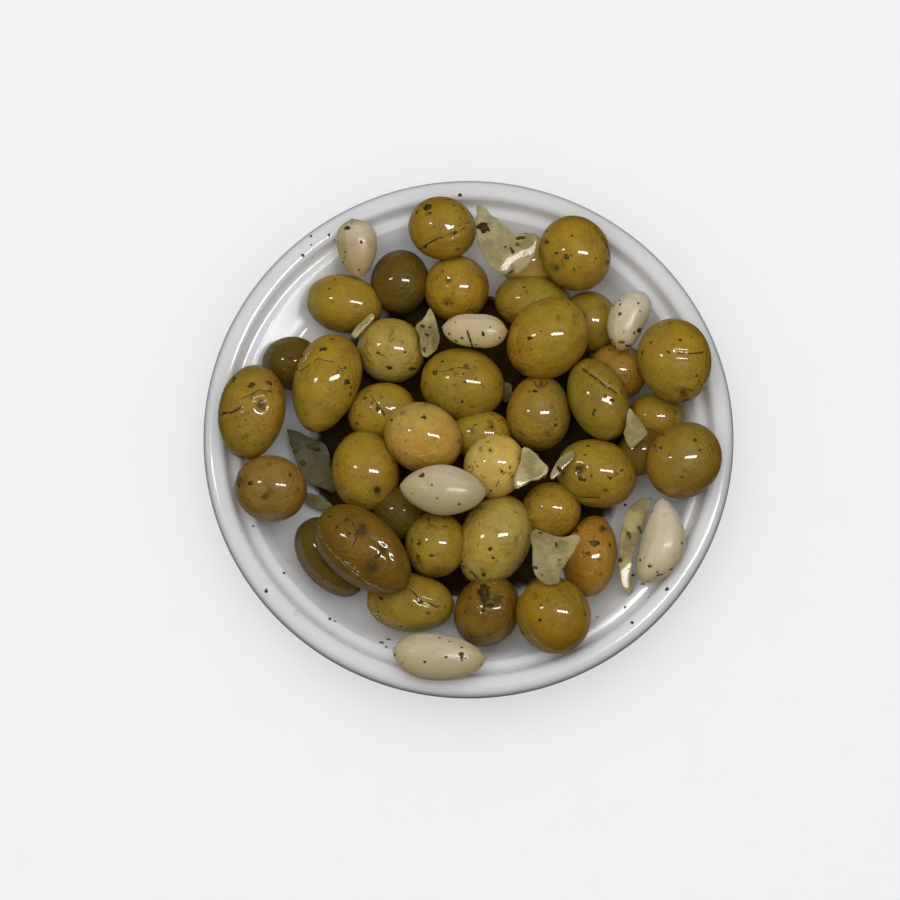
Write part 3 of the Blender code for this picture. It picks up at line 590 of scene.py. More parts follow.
# A cut as seen: its olive, the places it runs through and its width
CUTS = [
    ("far_left", [(-15.5, 62.2), (-12.8, 63.8), (-9.5, 65.5), (-5.5, 66.2), (-1.5, 67.8)], 0.26),
    ("far_left", [(-5.5, 66.2), (-3.5, 69.5), (0.5, 70.8)], 0.12),
    ("right_edge", [(69.2, 27.5), (73.8, 26.8), (78.2, 27.5)], 0.30),
    ("right_edge", [(69.2, 14.2), (71.5, 15.2), (74.5, 14.5)], 0.20),
    ("right_green", [(38.2, 22.2), (43.2, 18.5), (46.5, 15.8), (49.2, 13.8)], 0.42),
    ("left_pointed", [(-56.2, 21.2), (-50.2, 25.5), (-45.2, 24.5), (-41.2, 20.2)], 0.16),
    ("left_edge", [(-83.2, 6.2), (-76.8, 8.8), (-70.8, 11.2), (-68.2, 11.5), (-61.5, 12.5)], 0.34),
    ("left_edge", [(-74.8, 12.5), (-69.5, 14.8), (-61.8, 13.8)], 0.16),
    ("near_pale", [(-3.2, -42.2), (-0.8, -45.2), (3.2, -49.2)], 0.30),
    ("near_pale", [(19.8, -23.5), (20.8, -28.5)], 0.20),
    ("near_left_edge", [(-21.2, -49.8), (-16.2, -55.2), (-10.8, -57.5)], 0.30),
    ("near_left_split", [(-48.8, -31.8), (-46.2, -39.2), (-41.5, -46.5)], 0.70),
    ("near_left_brown", [(-38.8, -29.2), (-36.8, -33.2), (-38.5, -36.8)], 0.22),
    ("near_left_brown", [(-32.2, -35.2), (-27.5, -37.8), (-25.8, -41.8)], 0.30),
    ("near_small", [(-12.8, -27.8), (-12.8, -30.2), (-6.8, -30.8)], 0.16),
    ("near_middle_edge", [(3.2, -51.8), (5.2, -56.2), (4.5, -59.2)], 0.50),
    ("right_bumpy", [(32.5, -19.2), (37.2, -20.8), (43.8, -21.2)], 0.22),
    ("centre_orange", [(-25.5, -5.2), (-23.5, -9.2), (-21.2, -11.2)], 0.14),
    ("middle_far", [(-8.2, 21.2), (-4.5, 22.5), (0.5, 21.8)], 0.18),
    ("middle_right", [(21.8, 17.8), (22.5, 16.8), (24.2, 16.2), (26.5, 17.8)], 0.28),
    ("left_centre", [(-31.5, 11.5), (-29.5, 8.8), (-27.8, 6.2)], 0.30),
    ("left_pale", [(-34.2, 31.5), (-32.2, 27.5), (-28.2, 26.2)], 0.14),
    ("far_right", [(43.2, 68.8), (45.8, 64.8), (47.2, 59.5)], 0.20),
]

# A pit as seen: its olive, its place, its radius, its depth and how dark it is
PITS = [
    ("far_orange", (-7.2, 43.8), 1.6, 0.6, 0.5),
    ("far_orange", (-6.8, 51.5), 1.1, 0.4, 0.6),
    ("right_edge", (71.5, 13.5), 1.6, 0.8, 0.75),
    ("middle_right", (24.2, 17.2), 1.4, 0.8, 0.5),
    ("left_golden", (-30.2, -18.8), 1.5, 0.9, 1.0),
    ("centre_pale", (7.2, -5.2), 0.9, 0.4, 0.7),
    ("far_right", (25.8, 64.2), 1.2, 0.3, 0.8),
    ("far_right", (29.2, 55.5), 1.7, 0.3, 0.6),
    ("left_edge", (-68.8, 10.2), 1.6, 0.8, 0.8),
    ("left_near", (-67.5, -20.5), 1.4, 0.4, 0.5),
    ("right_bumpy", (36.5, -11.8), 2.0, 0.8, 0.8),
    ("near_middle_edge", (5.8, -53.8), 2.2, 0.6, 0.8),
    ("near_left_brown", (-31.8, -43.8), 2.6, 0.4, 0.8),
    ("near_left_brown", (-35.6, -32.0), 2.4, 0.3, 0.7),
    ("near_left_brown", (-28.6, -38.6), 1.6, 0.3, 0.6),
    ("near_right_orange", (44.8, -31.2), 1.4, 0.5, 0.6),
    ("near_small", (-10.9, -47.5), 4.5, 0.2, 0.55),
    ("near_left_split", (-45.2, -41.8), 3.4, 0.9, 1.0),
    ("near_left_split", (-47.8, -35.5), 2.2, 0.5, 0.8),
    ("near_middle_edge", (9.5, -55.0), 1.8, 0.4, 0.7),
    ("left_near", (-76.5, -15.5), 1.8, 0.3, 0.6),
]
OLIVE_COLUMNS, OLIVE_RINGS = 64, 40
CUT_COLUMNS, CUT_RINGS = 112, 72

# Lumps, ripples and the stalk's scar as shares of the form, and the scar's radius on the unit sphere
SWELL, RIPPLE = 0.017, 0.005
SCAR_DEPTH, SCAR_RADIUS = 0.05, 0.13

# Half widths of a cut's groove and of the lip beside it, where the lip lies and how high it stands for
# each mm of depth, how far the cut strays and how softly it ends
CUT_HALF, CUT_LIP_HALF = 0.9, 0.8
CUT_LIP_AWAY, CUT_LIP_RISE = 1.6, 0.35
CUT_WANDER, CUT_END = 0.35, 0.8

# How far beside a cut the distance from it is marked, and the mark where there is no cut
MARKED_WIDTH, NO_CUT = 3.0, 9.0


def unit_grid(columns, rings):
    """Unit-sphere points ring by ring: (sin a cos b, sin a sin b, cos a), with single end points."""
    a = (np.arange(rings) + 1) / (rings + 1) * math.pi
    b = np.arange(columns) / columns * math.tau
    ring = np.stack([np.sin(a)[:, None] * np.cos(b), np.sin(a)[:, None] * np.sin(b),
                     np.broadcast_to(np.cos(a)[:, None], (rings, columns))], axis=-1)
    return np.concatenate([[[0, 0, 1.0]], ring.reshape(-1, 3), [[0, 0, -1.0]]])


def lumps(points, rng, waves, count=7):
    """Soft unevenness between about -1 and 1: a mean of sine waves in random directions."""
    way = rng.normal(size=(count, 3))
    way *= waves / np.linalg.norm(way, axis=1, keepdims=True) * rng.uniform(0.6, 1.4, (count, 1))
    return np.sin(points @ way.T + rng.uniform(0, math.tau, count)).mean(axis=1) * 1.8


def line_distance(places, line):
    """Signed distance of seen places from a line through some points, that of its nearest run: positive
    on its left. Second result: how far beyond the line's ends a place lies."""
    best = np.full(len(places), 1e9)
    beyond = np.zeros(len(places))
    for start, end in zip(line, line[1:]):
        start, way = np.array(start), np.array(end) - np.array(start)
        share = (places - start) @ way / (way @ way)
        offset = places - start - np.clip(share, 0, 1)[:, None] * way
        away = np.linalg.norm(offset, axis=1)
        side = np.sign(way[0] * offset[:, 1] - way[1] * offset[:, 0] + 1e-12)
        past = np.linalg.norm(way) * np.maximum(-share if start is line[0] else share - 1, 0)
        closer = away < np.abs(best)
        beyond = np.where(closer, past, beyond)
        best = np.where(closer, away * side, best)
    return best, beyond


def olive(name, rng):
    """One olive: its form, swollen by lumps and sunk along its cuts and pits. A groove is width times
    exp(-(away / half width) squared), less a lip on either side. Returns the points, the faces, the skin
    colour with painted shade on its underside, how dark its marks are, and each point's distance from a
    cut in cut widths."""
    x, y, half_length, half_width, turn, taper, tone = OLIVES[name]
    marked = any(name == row[0] for row in CUTS + PITS)
    columns, rings = (CUT_COLUMNS, CUT_RINGS) if marked else (OLIVE_COLUMNS, OLIVE_RINGS)
    unit = unit_grid(columns, rings)
    form = olive_form(unit, half_length, half_width, turn, taper)
    swell = 1 + SWELL * lumps(unit, rng, 2.6) + RIPPLE * lumps(unit, rng, 7.0)
    scar = np.exp(-(np.hypot(unit[:, 0], unit[:, 1]) / SCAR_RADIUS) ** 2) * (unit[:, 2] < 0)
    points = form * (swell - SCAR_DEPTH * scar)[:, None] + on_sight_line(x, y, LEVELS[name])
    outward = form / np.linalg.norm(form, axis=1, keepdims=True)
    seen, facing = seen_places(points), np.clip(outward @ SIGHT_BACK * 4, 0, 1)
    dark = 0.7 * scar
    depth = np.zeros(len(points))
    cut = np.full(len(points), NO_CUT)
    for owner, line, width in CUTS:
        if owner == name:
            away, beyond = line_distance(seen, line)
            away = away + CUT_WANDER * lumps(unit, rng, 9.0)
            open_here = facing * np.exp(-(beyond / CUT_END) ** 2)
            groove = np.exp(-(away / CUT_HALF) ** 2)
            lip = np.exp(-((np.abs(away) - CUT_LIP_AWAY) / CUT_LIP_HALF) ** 2)
            depth += width * (groove - CUT_LIP_RISE * lip) * open_here
            nearer = (np.abs(away) < MARKED_WIDTH) & (open_here > 0.05)
            cut = np.where(nearer, away / width / np.maximum(open_here, 0.05), cut)
    for owner, place, radius, deep, tint in PITS:
        if owner == name:
            away = np.linalg.norm(seen - place, axis=1) * (1 + 0.25 * lumps(unit, rng, 12.0))
            hollow = np.exp(-(away / radius) ** 2) * facing
            depth += deep * hollow
            dark = np.maximum(dark, tint * np.clip(hollow * 1.5 - 0.2, 0, 1))
    points = points - outward * depth[:, None]
    patch = np.clip(0.5 + 0.6 * lumps(unit, rng, 3.0), 0, 1)[:, None]
    warm = np.array(TONES[tone]) * (1.08, 0.97, 0.85)
    cool = np.array(TONES[tone]) * (0.95, 1.00, 1.10)
    # Painted shade: the skin colour is darkened where the olive's surface faces down.
    under = np.clip(0.80 - outward[:, 2:], 0, 1) ** 1.3
    shaded = 1 - under * (0.38, 0.42, 0.50)
    skin = (warm * patch + cool * (1 - patch)) * shaded * rng.uniform(0.94, 1.06)
    return points, spindle_faces(rings, columns), skin, dark, cut


def olive_skin():
    """Wet olive skin: the olive's colour with painted shade underneath, clouded, bruised and freckled,
    brown-black in cuts and pits and pale along their lips. A film of oil in wrinkles and beads gives it its
    small sharp lights."""
    material, shader, place = new_finish("olive_skin")
    skin, dark, cut = place.field("skin", 0), place.field("dark"), place.field("cut")
    cloud = place.noise(160.0, 3.0, 0.6)
    clouded = (cloud.rise(0.35, 0.65) * 0.45).blend(skin, (0.62, 0.56, 0.50, 1), "MULTIPLY")
    warmed = (place.noise(90.0, 2.0).rise(0.5, 0.7) * 0.4).blend(clouded, (1.0, 0.80, 0.75, 1), "MULTIPLY")
    bruise = place.noise(330.0, 3.0, 0.55).rise(0.60, 0.70) * 0.6
    bruised = bruise.blend(warmed, (0.13, 0.075, 0.010, 1))
    freckles = (1.0 - place.dots(1300.0).rise(0.10, 0.26)) * place.noise(700.0).rise(0.45, 0.6)
    freckled = (freckles * 0.12).blend(bruised, (0.62, 0.50, 0.16, 1))
    ragged = place.noise(1100.0, 2.0)
    slit = 1.0 - place.math("ABSOLUTE", cut + (ragged - 0.5) * 2.2).rise(0.5, 1.3)
    slit = slit * place.noise(380.0, 1.0).rise(0.36, 0.48)
    shade = place.math("MAXIMUM", dark * 0.96, slit * 0.85)
    lip = cut.rise(1.0, 1.7) * (1.0 - cut.rise(2.2, 3.4))
    lipped = (lip * 0.12).blend(freckled, (0.60, 0.46, 0.14, 1))
    marked = shade.blend(lipped, (0.034, 0.017, 0.003, 1))
    film = 0.5 + place.noise(110.0, 1.0).rise(0.42, 0.6) * 0.7
    wrinkle = place.noise(380.0, 2.0, 0.5)
    beads = (1.0 - place.dots(560.0).rise(0.02, 0.28)) * place.noise(150.0, 1.0).rise(0.40, 0.55)
    grain = place.noise(760.0, 1.0)
    rough = 0.25 + place.noise(42.0, 1.0).rise(0.42, 0.58) * 0.45
    sparkle = place.noise(1900.0, 1.0) * place.noise(85.0, 1.0).rise(0.42, 0.56)
    rim = place.node("ShaderNodeLayerWeight", {}, {"Blend": 0.5}, output=1)
    relief = wrinkle * film * 0.9 + grain * rough + sparkle * 0.20 + beads * 0.30 - slit * 0.35
    feed(shader, Base_Color=marked, Roughness=0.34 + cloud * 0.12 + shade * 0.2,
         Normal=relief.bump(0.8, 0.0006), Specular_IOR_Level=0.14,
         Coat_Weight=1.0 - rim.rise(0.25, 0.70) * 0.94, Coat_Roughness=0.04, Coat_IOR=1.45)
    return material


def float_field(piece, name, values):
    """A number at each point of a piece, for its material to read."""
    field = piece.data.attributes.new(name, "FLOAT", "POINT")
    field.data.foreach_set("value", values.astype(np.float32))


def colour_field(piece, name, colours):
    """A colour at each point of a piece, for its material to read."""
    field = piece.data.attributes.new(name, "FLOAT_COLOR", "POINT")
    opaque = np.hstack([colours, np.ones((len(colours), 1))])
    field.data.foreach_set("color", opaque.astype(np.float32).ravel())


def join(parts):
    """Points, polygons and fields of several parts as one: a part's faces move up by the points before."""
    starts = np.cumsum([0] + [len(part[0]) for part in parts[:-1]])
    polygons = [np.concatenate([part[1][k] + start for part, start in zip(parts, starts)])
                for k in range(len(parts[0][1]))]
    fields = [np.concatenate([part[k] for part in parts]) for k in range(2, len(parts[0]))]
    return [np.concatenate([part[0] for part in parts]), polygons] + fields


rng = np.random.default_rng(7)
OLIVE_SHAPES = {name: olive(name, rng) for name in OLIVES}
skin_finish = olive_skin()
cut_names = sorted({row[0] for row in CUTS + PITS})
FAR_FROM, MIDDLE_FROM = 10.0, -35.0
for title, names in (
        ("whole_olives", [n for n in OLIVES if n not in cut_names]),
        ("cracked_olives_far", [n for n in cut_names if OLIVES[n][1] > FAR_FROM]),
        ("cracked_olives_middle", [n for n in cut_names if MIDDLE_FROM < OLIVES[n][1] <= FAR_FROM]),
        ("cracked_olives_near", [n for n in cut_names if OLIVES[n][1] <= MIDDLE_FROM])):
    points, polygons, skin, dark, cut = join([OLIVE_SHAPES[n] for n in names])
    piece = add_mesh(title, points, polygons)
    colour_field(piece, "skin", skin)
    float_field(piece, "dark", dark)
    float_field(piece, "cut", cut)
    piece.data.materials.append(skin_finish)
    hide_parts("olives")
    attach(piece, "root")


# Olives at the bottom
# The first layer, on the dish's floor under the ones that show, in the brown marinade that runs down
# between them. Only tops in shade can be glimpsed through the gaps, so it is one closed lumpy mound,
# coloured brown-black as painted shade.
MOUND_COLUMNS, MOUND_RINGS = 220, 90
MOUND_EDGE = 55.0

# Number of olive tops, the radius they lie within, their sizes and heights, and their fall outwards
MOUND_TOPS = 60
TOPS_WITHIN = 46.0
TOP_SIZES = (7.5, 9.5)
TOP_HEIGHTS = (12.0, 15.0)
TOP_FALL = 0.06


def bottom_mound():
    """A mound over rings round the middle: its height is the highest of many olive tops strewn by a
    seeded draw, eased to the floor at its edge; its underside is flat."""
    draw = np.random.default_rng(23)
    reach = (np.arange(MOUND_RINGS) + 1) / MOUND_RINGS * MOUND_EDGE
    turn = np.arange(MOUND_COLUMNS) / MOUND_COLUMNS * math.tau
    wander = 0.97 + 0.03 * np.sin(5 * turn + 1.3) * np.sin(3 * turn + 0.4)
    x, y = np.outer(reach, wander * np.cos(turn)), np.outer(reach, wander * np.sin(turn))
    ground = np.interp(reach, [CORE_TOP_RADIUS, MOUND_EDGE], [CORE_TOP - 2.5, FLOOR_HEIGHT + GAP])
    height = np.broadcast_to(ground[:, None], x.shape).copy()
    for _ in range(MOUND_TOPS):
        far = TOPS_WITHIN * math.sqrt(draw.random())
        angle = draw.uniform(0, math.tau)
        size = draw.uniform(*TOP_SIZES)
        top = draw.uniform(*TOP_HEIGHTS) - TOP_FALL * far
        away = np.hypot(x - far * math.cos(angle), y - far * math.sin(angle))
        bulge = np.sqrt(np.clip(size ** 2 - away ** 2, 0, None)) * (away < size)
        height = np.maximum(height, top - size + bulge)
    ring = np.stack([x, y, height], axis=-1).reshape(-1, 3)
    middle = [0.0, 0.0, float(height[0].max())]
    return np.concatenate([[middle], ring, [[0.0, 0.0, FLOOR_HEIGHT + GAP]]])


def brown_marinade():
    """Olives and marinade between the upper ones: brown-black, partly their own brown and partly painted
    shade for the dark gaps, hardly glossy, and so thin at the heap's edge that the dish shows through."""
    material, shader, place = new_finish("brown_marinade")
    cloud = place.noise(120.0, 2.0)
    thin = (place.radius() + (place.noise(150.0) - 0.5) * 0.008).rise(0.048, 0.0545)
    # Painted shade: brown-black for the dark gaps, darker than the olives and marinade themselves.
    feed(shader, Base_Color=cloud.blend((0.026, 0.014, 0.002, 1), (0.056, 0.033, 0.005, 1)),
         Roughness=0.65, Specular_IOR_Level=0.05, Alpha=1.0 - thin * 0.95)
    return material


points = bottom_mound()
bottom = add_mesh("bottom_olives_painted_shade", points, spindle_faces(MOUND_RINGS, MOUND_COLUMNS))
bottom.data.materials.append(brown_marinade())
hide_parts("olives")
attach(bottom, "root")


# Garlic cloves
# Peeled cloves of garlic, pickled with the olives: cream to beige and slightly clear, each with a
# ridge along its back, a blunt root end that has browned, and a coat of marinade.
CLOVE_COLUMNS, CLOVE_RINGS = 96, 64
RIDGE_AT, RIDGE_HALF, RIDGE_HEIGHT = 1.1, 0.22, 0.35
BROWN_FROM, BROWN_OVER = 0.72, 0.25
# The colour of the painted sheen on a clove's far side, where the light falls
PALE_SIDE = (0.80, 0.71, 0.56)

# Colour, the end that is the root (1 or -1) and how brown that is
CLOVE_COLOURS = {
    "garlic_far_left": ((0.50, 0.37, 0.18), 1.0, 0.9),
    "garlic_far_right": ((0.64, 0.55, 0.345), -1.0, 0.9),
    "garlic_middle_far": ((0.64, 0.50, 0.25), 1.0, 0.2),
    "garlic_centre": ((0.56, 0.44, 0.24), 1.0, 0.15),
    "garlic_right_near": ((0.70, 0.585, 0.38), -1.0, 0.45),
    "garlic_near": ((0.61, 0.50, 0.30), 1.0, 0.25),
}


def clove(name, rng):
    """One clove: its form with dents and a ridge, exp(-((angle - its angle) / half width) squared), with
    a painted sheen on its far side and painted shade underneath. Returns points, faces, colour and how brown
    it is."""
    x, y, *form = CLOVES[name]
    unit = unit_grid(CLOVE_COLUMNS, CLOVE_RINGS)
    body = clove_form(unit, *form)
    length = np.linalg.norm(body, axis=1, keepdims=True)
    outward = body / np.maximum(length, 1e-6)
    angle = np.arctan2(unit[:, 1], unit[:, 0])
    ridge = np.exp(-((angle - RIDGE_AT) / RIDGE_HALF) ** 2) * RIDGE_HEIGHT
    relief = 0.22 * lumps(unit, rng, 2.4) + 0.05 * lumps(unit, rng, 8.0) + ridge - 0.15
    points = body + outward * relief[:, None] + on_sight_line(x, y, LEVELS[name])
    base, end, share = CLOVE_COLOURS[name]
    toward_root = unit[:, 2] * end - BROWN_FROM + 0.08 * lumps(unit, rng, 6.0)
    brown = np.clip(toward_root / BROWN_OVER, 0, 1) * share
    # Painted light and shade: the far side is blended towards the sheen colour, and the underside is
    # darkened.
    under = np.clip(0.75 - outward[:, 2:], 0, 1)
    pale = np.clip(outward[:, 1:2], 0, 1) * 0.8
    shade = (1 + 0.06 * lumps(unit, rng, 3.0))[:, None] * (1 - under * (0.08, 0.10, 0.14))
    flesh = (np.array(base) * (1 - pale) + pale * PALE_SIDE) * shade
    return points, spindle_faces(CLOVE_RINGS, CLOVE_COLUMNS), flesh, brown


def garlic_flesh():
    """Garlic: cream flesh with faint long veins and clouding, browned at the root, wet."""
    material, shader, place = new_finish("garlic_flesh")
    flesh, brown = place.field("flesh", 0), place.field("brown")
    cloud = place.noise(140.0, 3.0, 0.55)
    clouded = (cloud.rise(0.4, 0.75) * 0.35).blend(flesh, (0.60, 0.45, 0.22, 1))
    stained = (place.noise(420.0, 2.0).rise(0.60, 0.70) * 0.25).blend(clouded, (0.42, 0.28, 0.10, 1))
    rooted = (brown * 0.8).blend(stained, (0.40, 0.24, 0.07, 1))
    relief = place.noise(350.0, 2.0) + place.noise(1400.0) * 0.1
    feed(shader, Base_Color=rooted, Roughness=0.36 + cloud * 0.12, Normal=relief.bump(0.4, 0.0004),
         Coat_Weight=0.3, Coat_Roughness=0.18, Subsurface_Weight=0.25, Subsurface_Scale=0.003,
         Subsurface_Radius=(1.0, 0.7, 0.4))
    return material


flesh_finish = garlic_flesh()
CLOVE_SHAPES = {name: clove(name, rng) for name in CLOVES}
for name, (points, polygons, colour, brown) in CLOVE_SHAPES.items():
    piece = add_mesh("peeled_" + name, points, polygons)
    colour_field(piece, "flesh", colour)
    float_field(piece, "brown", brown)
    piece.data.materials.append(flesh_finish)
    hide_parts(name)
    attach(piece, "root")


# Onion pieces
# Scales and strips of onion, softened in the marinade: thin, rolled, half clear and grey-green, with
# fine veins along them and a paler cut edge.
ONION_COLUMNS, ONION_RINGS = 14, 24

# A sheet's waves, the wander of its outline, its half thickness at the edge and what is added inwards
SHEET_WAVES = 0.16
EDGE_WANDER = 0.35
EDGE_HALF = 0.05
ADDED_SHARE = 0.30

# Painted shade: how far the colour of a piece that lies deep in the heap is darkened, for its shade and the
# dark below it; it also makes the piece more solid
ONION_SHADE = {"onion_left_large": 0.8, "onion_left_shard": 0.5, "onion_left_far": 0.1, "onion_gap": 0.5,
               "onion_centre_strip": 0.1, "onion_near": 0.06}

# How much more solid a piece is than the rest
ONION_BODY = {"onion_centre": 0.35, "onion_right_strip": 0.25, "onion_left_far": 0.15}


def onion(name, rng):
    """A closed thin sheet over the rings of its outline, which wanders a little: its middle surface moved
    up and down by half its thickness, a quarter circle at the edge. Returns points, faces, vein
    coordinate and edge share."""
    piece = ONIONS[name]
    places, heights, count = sheet_rings(piece, ONION_COLUMNS, ONION_RINGS)
    ring = np.minimum(np.arange(len(places)) // count, ONION_RINGS)
    inward = ring / ONION_RINGS
    middle = on_sight_line(places[:, 0], places[:, 1], heights + LEVELS[name])
    middle[:, 2] += SHEET_WAVES * lumps(middle * 0.30, rng, 1.6)
    middle[:, 0] += EDGE_WANDER * lumps(middle, rng, 1.3) * (ring == 0)
    middle[:, 1] += EDGE_WANDER * lumps(middle, rng, 1.3) * (ring == 0)
    rounded = np.sqrt(np.clip(1 - (1 - np.minimum(inward * 12, 1)) ** 2, 0, 1))
    half = ADDED_SHARE * ONION_THICKNESS * rounded + EDGE_HALF
    half = half[:, None] * np.array([0, 0, 1.0])
    last = len(places) - 1
    top, bottom = middle + half, middle - half
    start = np.arange(ONION_RINGS - 1)[:, None] * count
    column = np.arange(count)[None, :]
    after = (column + 1) % count
    quads = np.stack([start + column, start + after, start + count + after, start + count + column],
                     axis=-1).reshape(-1, 4)
    inner = (ONION_RINGS - 1) * count
    fan = np.stack([inner + column[0], inner + after[0], np.full(count, last)], axis=-1)
    size = len(places)
    rim = np.stack([after[0], column[0], size + column[0], size + after[0]], axis=-1)
    polygons = [np.concatenate([quads, quads[:, ::-1] + size, rim]),
                np.concatenate([fan, fan[:, ::-1] + size])]
    roll = math.radians(piece[1])
    across = middle[:, 1] * math.cos(roll) - middle[:, 0] * math.sin(roll)
    return (np.concatenate([top, bottom]), polygons, np.tile(across, 2),
            np.tile(1 - np.minimum(inward * 5, 1), 2))


def onion_flesh():
    """Onion: grey-green and half clear, veined along the roll, paler and more solid at its cut edge,
    darkened by painted shade where it lies deep in the heap.
    """
    material, shader, place = new_finish("onion_flesh")
    vein, edge, depth, body = (place.field(name) for name in ("vein", "edge", "depth", "body"))
    stretched = place.node("ShaderNodeCombineXYZ", {}, {0: vein * 0.9, 1: place.noise(60.0) * 2.5})
    lines = stretched.noise(1.0, 2.0).rise(0.40, 0.64)
    cloud = place.noise(130.0, 3.0, 0.6)
    base = cloud.rise(0.36, 0.64).blend((0.33, 0.265, 0.085, 1), (0.58, 0.485, 0.215, 1))
    veined = (lines * 0.12).blend(base, (0.52, 0.47, 0.26, 1))
    edged = (edge * 0.25).blend(veined, (0.56, 0.50, 0.29, 1))
    # Painted shade: pieces deep in the heap are darkened in colour.
    shaded = depth.blend(edged, (0.075, 0.062, 0.026, 1))
    relief = lines * 0.1 + place.noise(650.0, 2.0) * 0.70 + place.noise(260.0, 1.0) * 1.5
    ragged = (1.0 - edge + (place.noise(700.0, 3.0, 0.6) - 0.5) * 0.9).rise(-0.30, 0.02)
    feed(shader, Base_Color=shaded, Roughness=0.45 + cloud * 0.1, Normal=relief.bump(1.0, 0.0006),
         Coat_Weight=0.65, Coat_Roughness=0.07, Coat_IOR=1.45, Specular_IOR_Level=0.2,
         Alpha=ragged * (0.44 + cloud * 0.45 + depth * 0.4 + body))
    return material


onion_finish = onion_flesh()
ONION_SHAPES = {name: onion(name, rng) for name in ONIONS}
for name, (points, polygons, vein, edge) in ONION_SHAPES.items():
    piece = add_mesh("sliced_" + name, points, polygons)
    float_field(piece, "depth", np.full(len(points), ONION_SHADE.get(name, 0.0)))
    float_field(piece, "body", np.full(len(points), ONION_BODY.get(name, 0.0)))
    float_field(piece, "vein", vein)
    float_field(piece, "edge", edge)
    piece.data.materials.append(onion_finish)
    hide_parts(name)
    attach(piece, "root")


# Herb flakes
# Dried herbs that came with the marinade and stuck to everything: flat torn leaf bits from half a
# millimetre to a few millimetres, green-brown to dark. The large ones lie where the photograph shows
# them, the small ones are strewn by a seeded draw over what faces up.

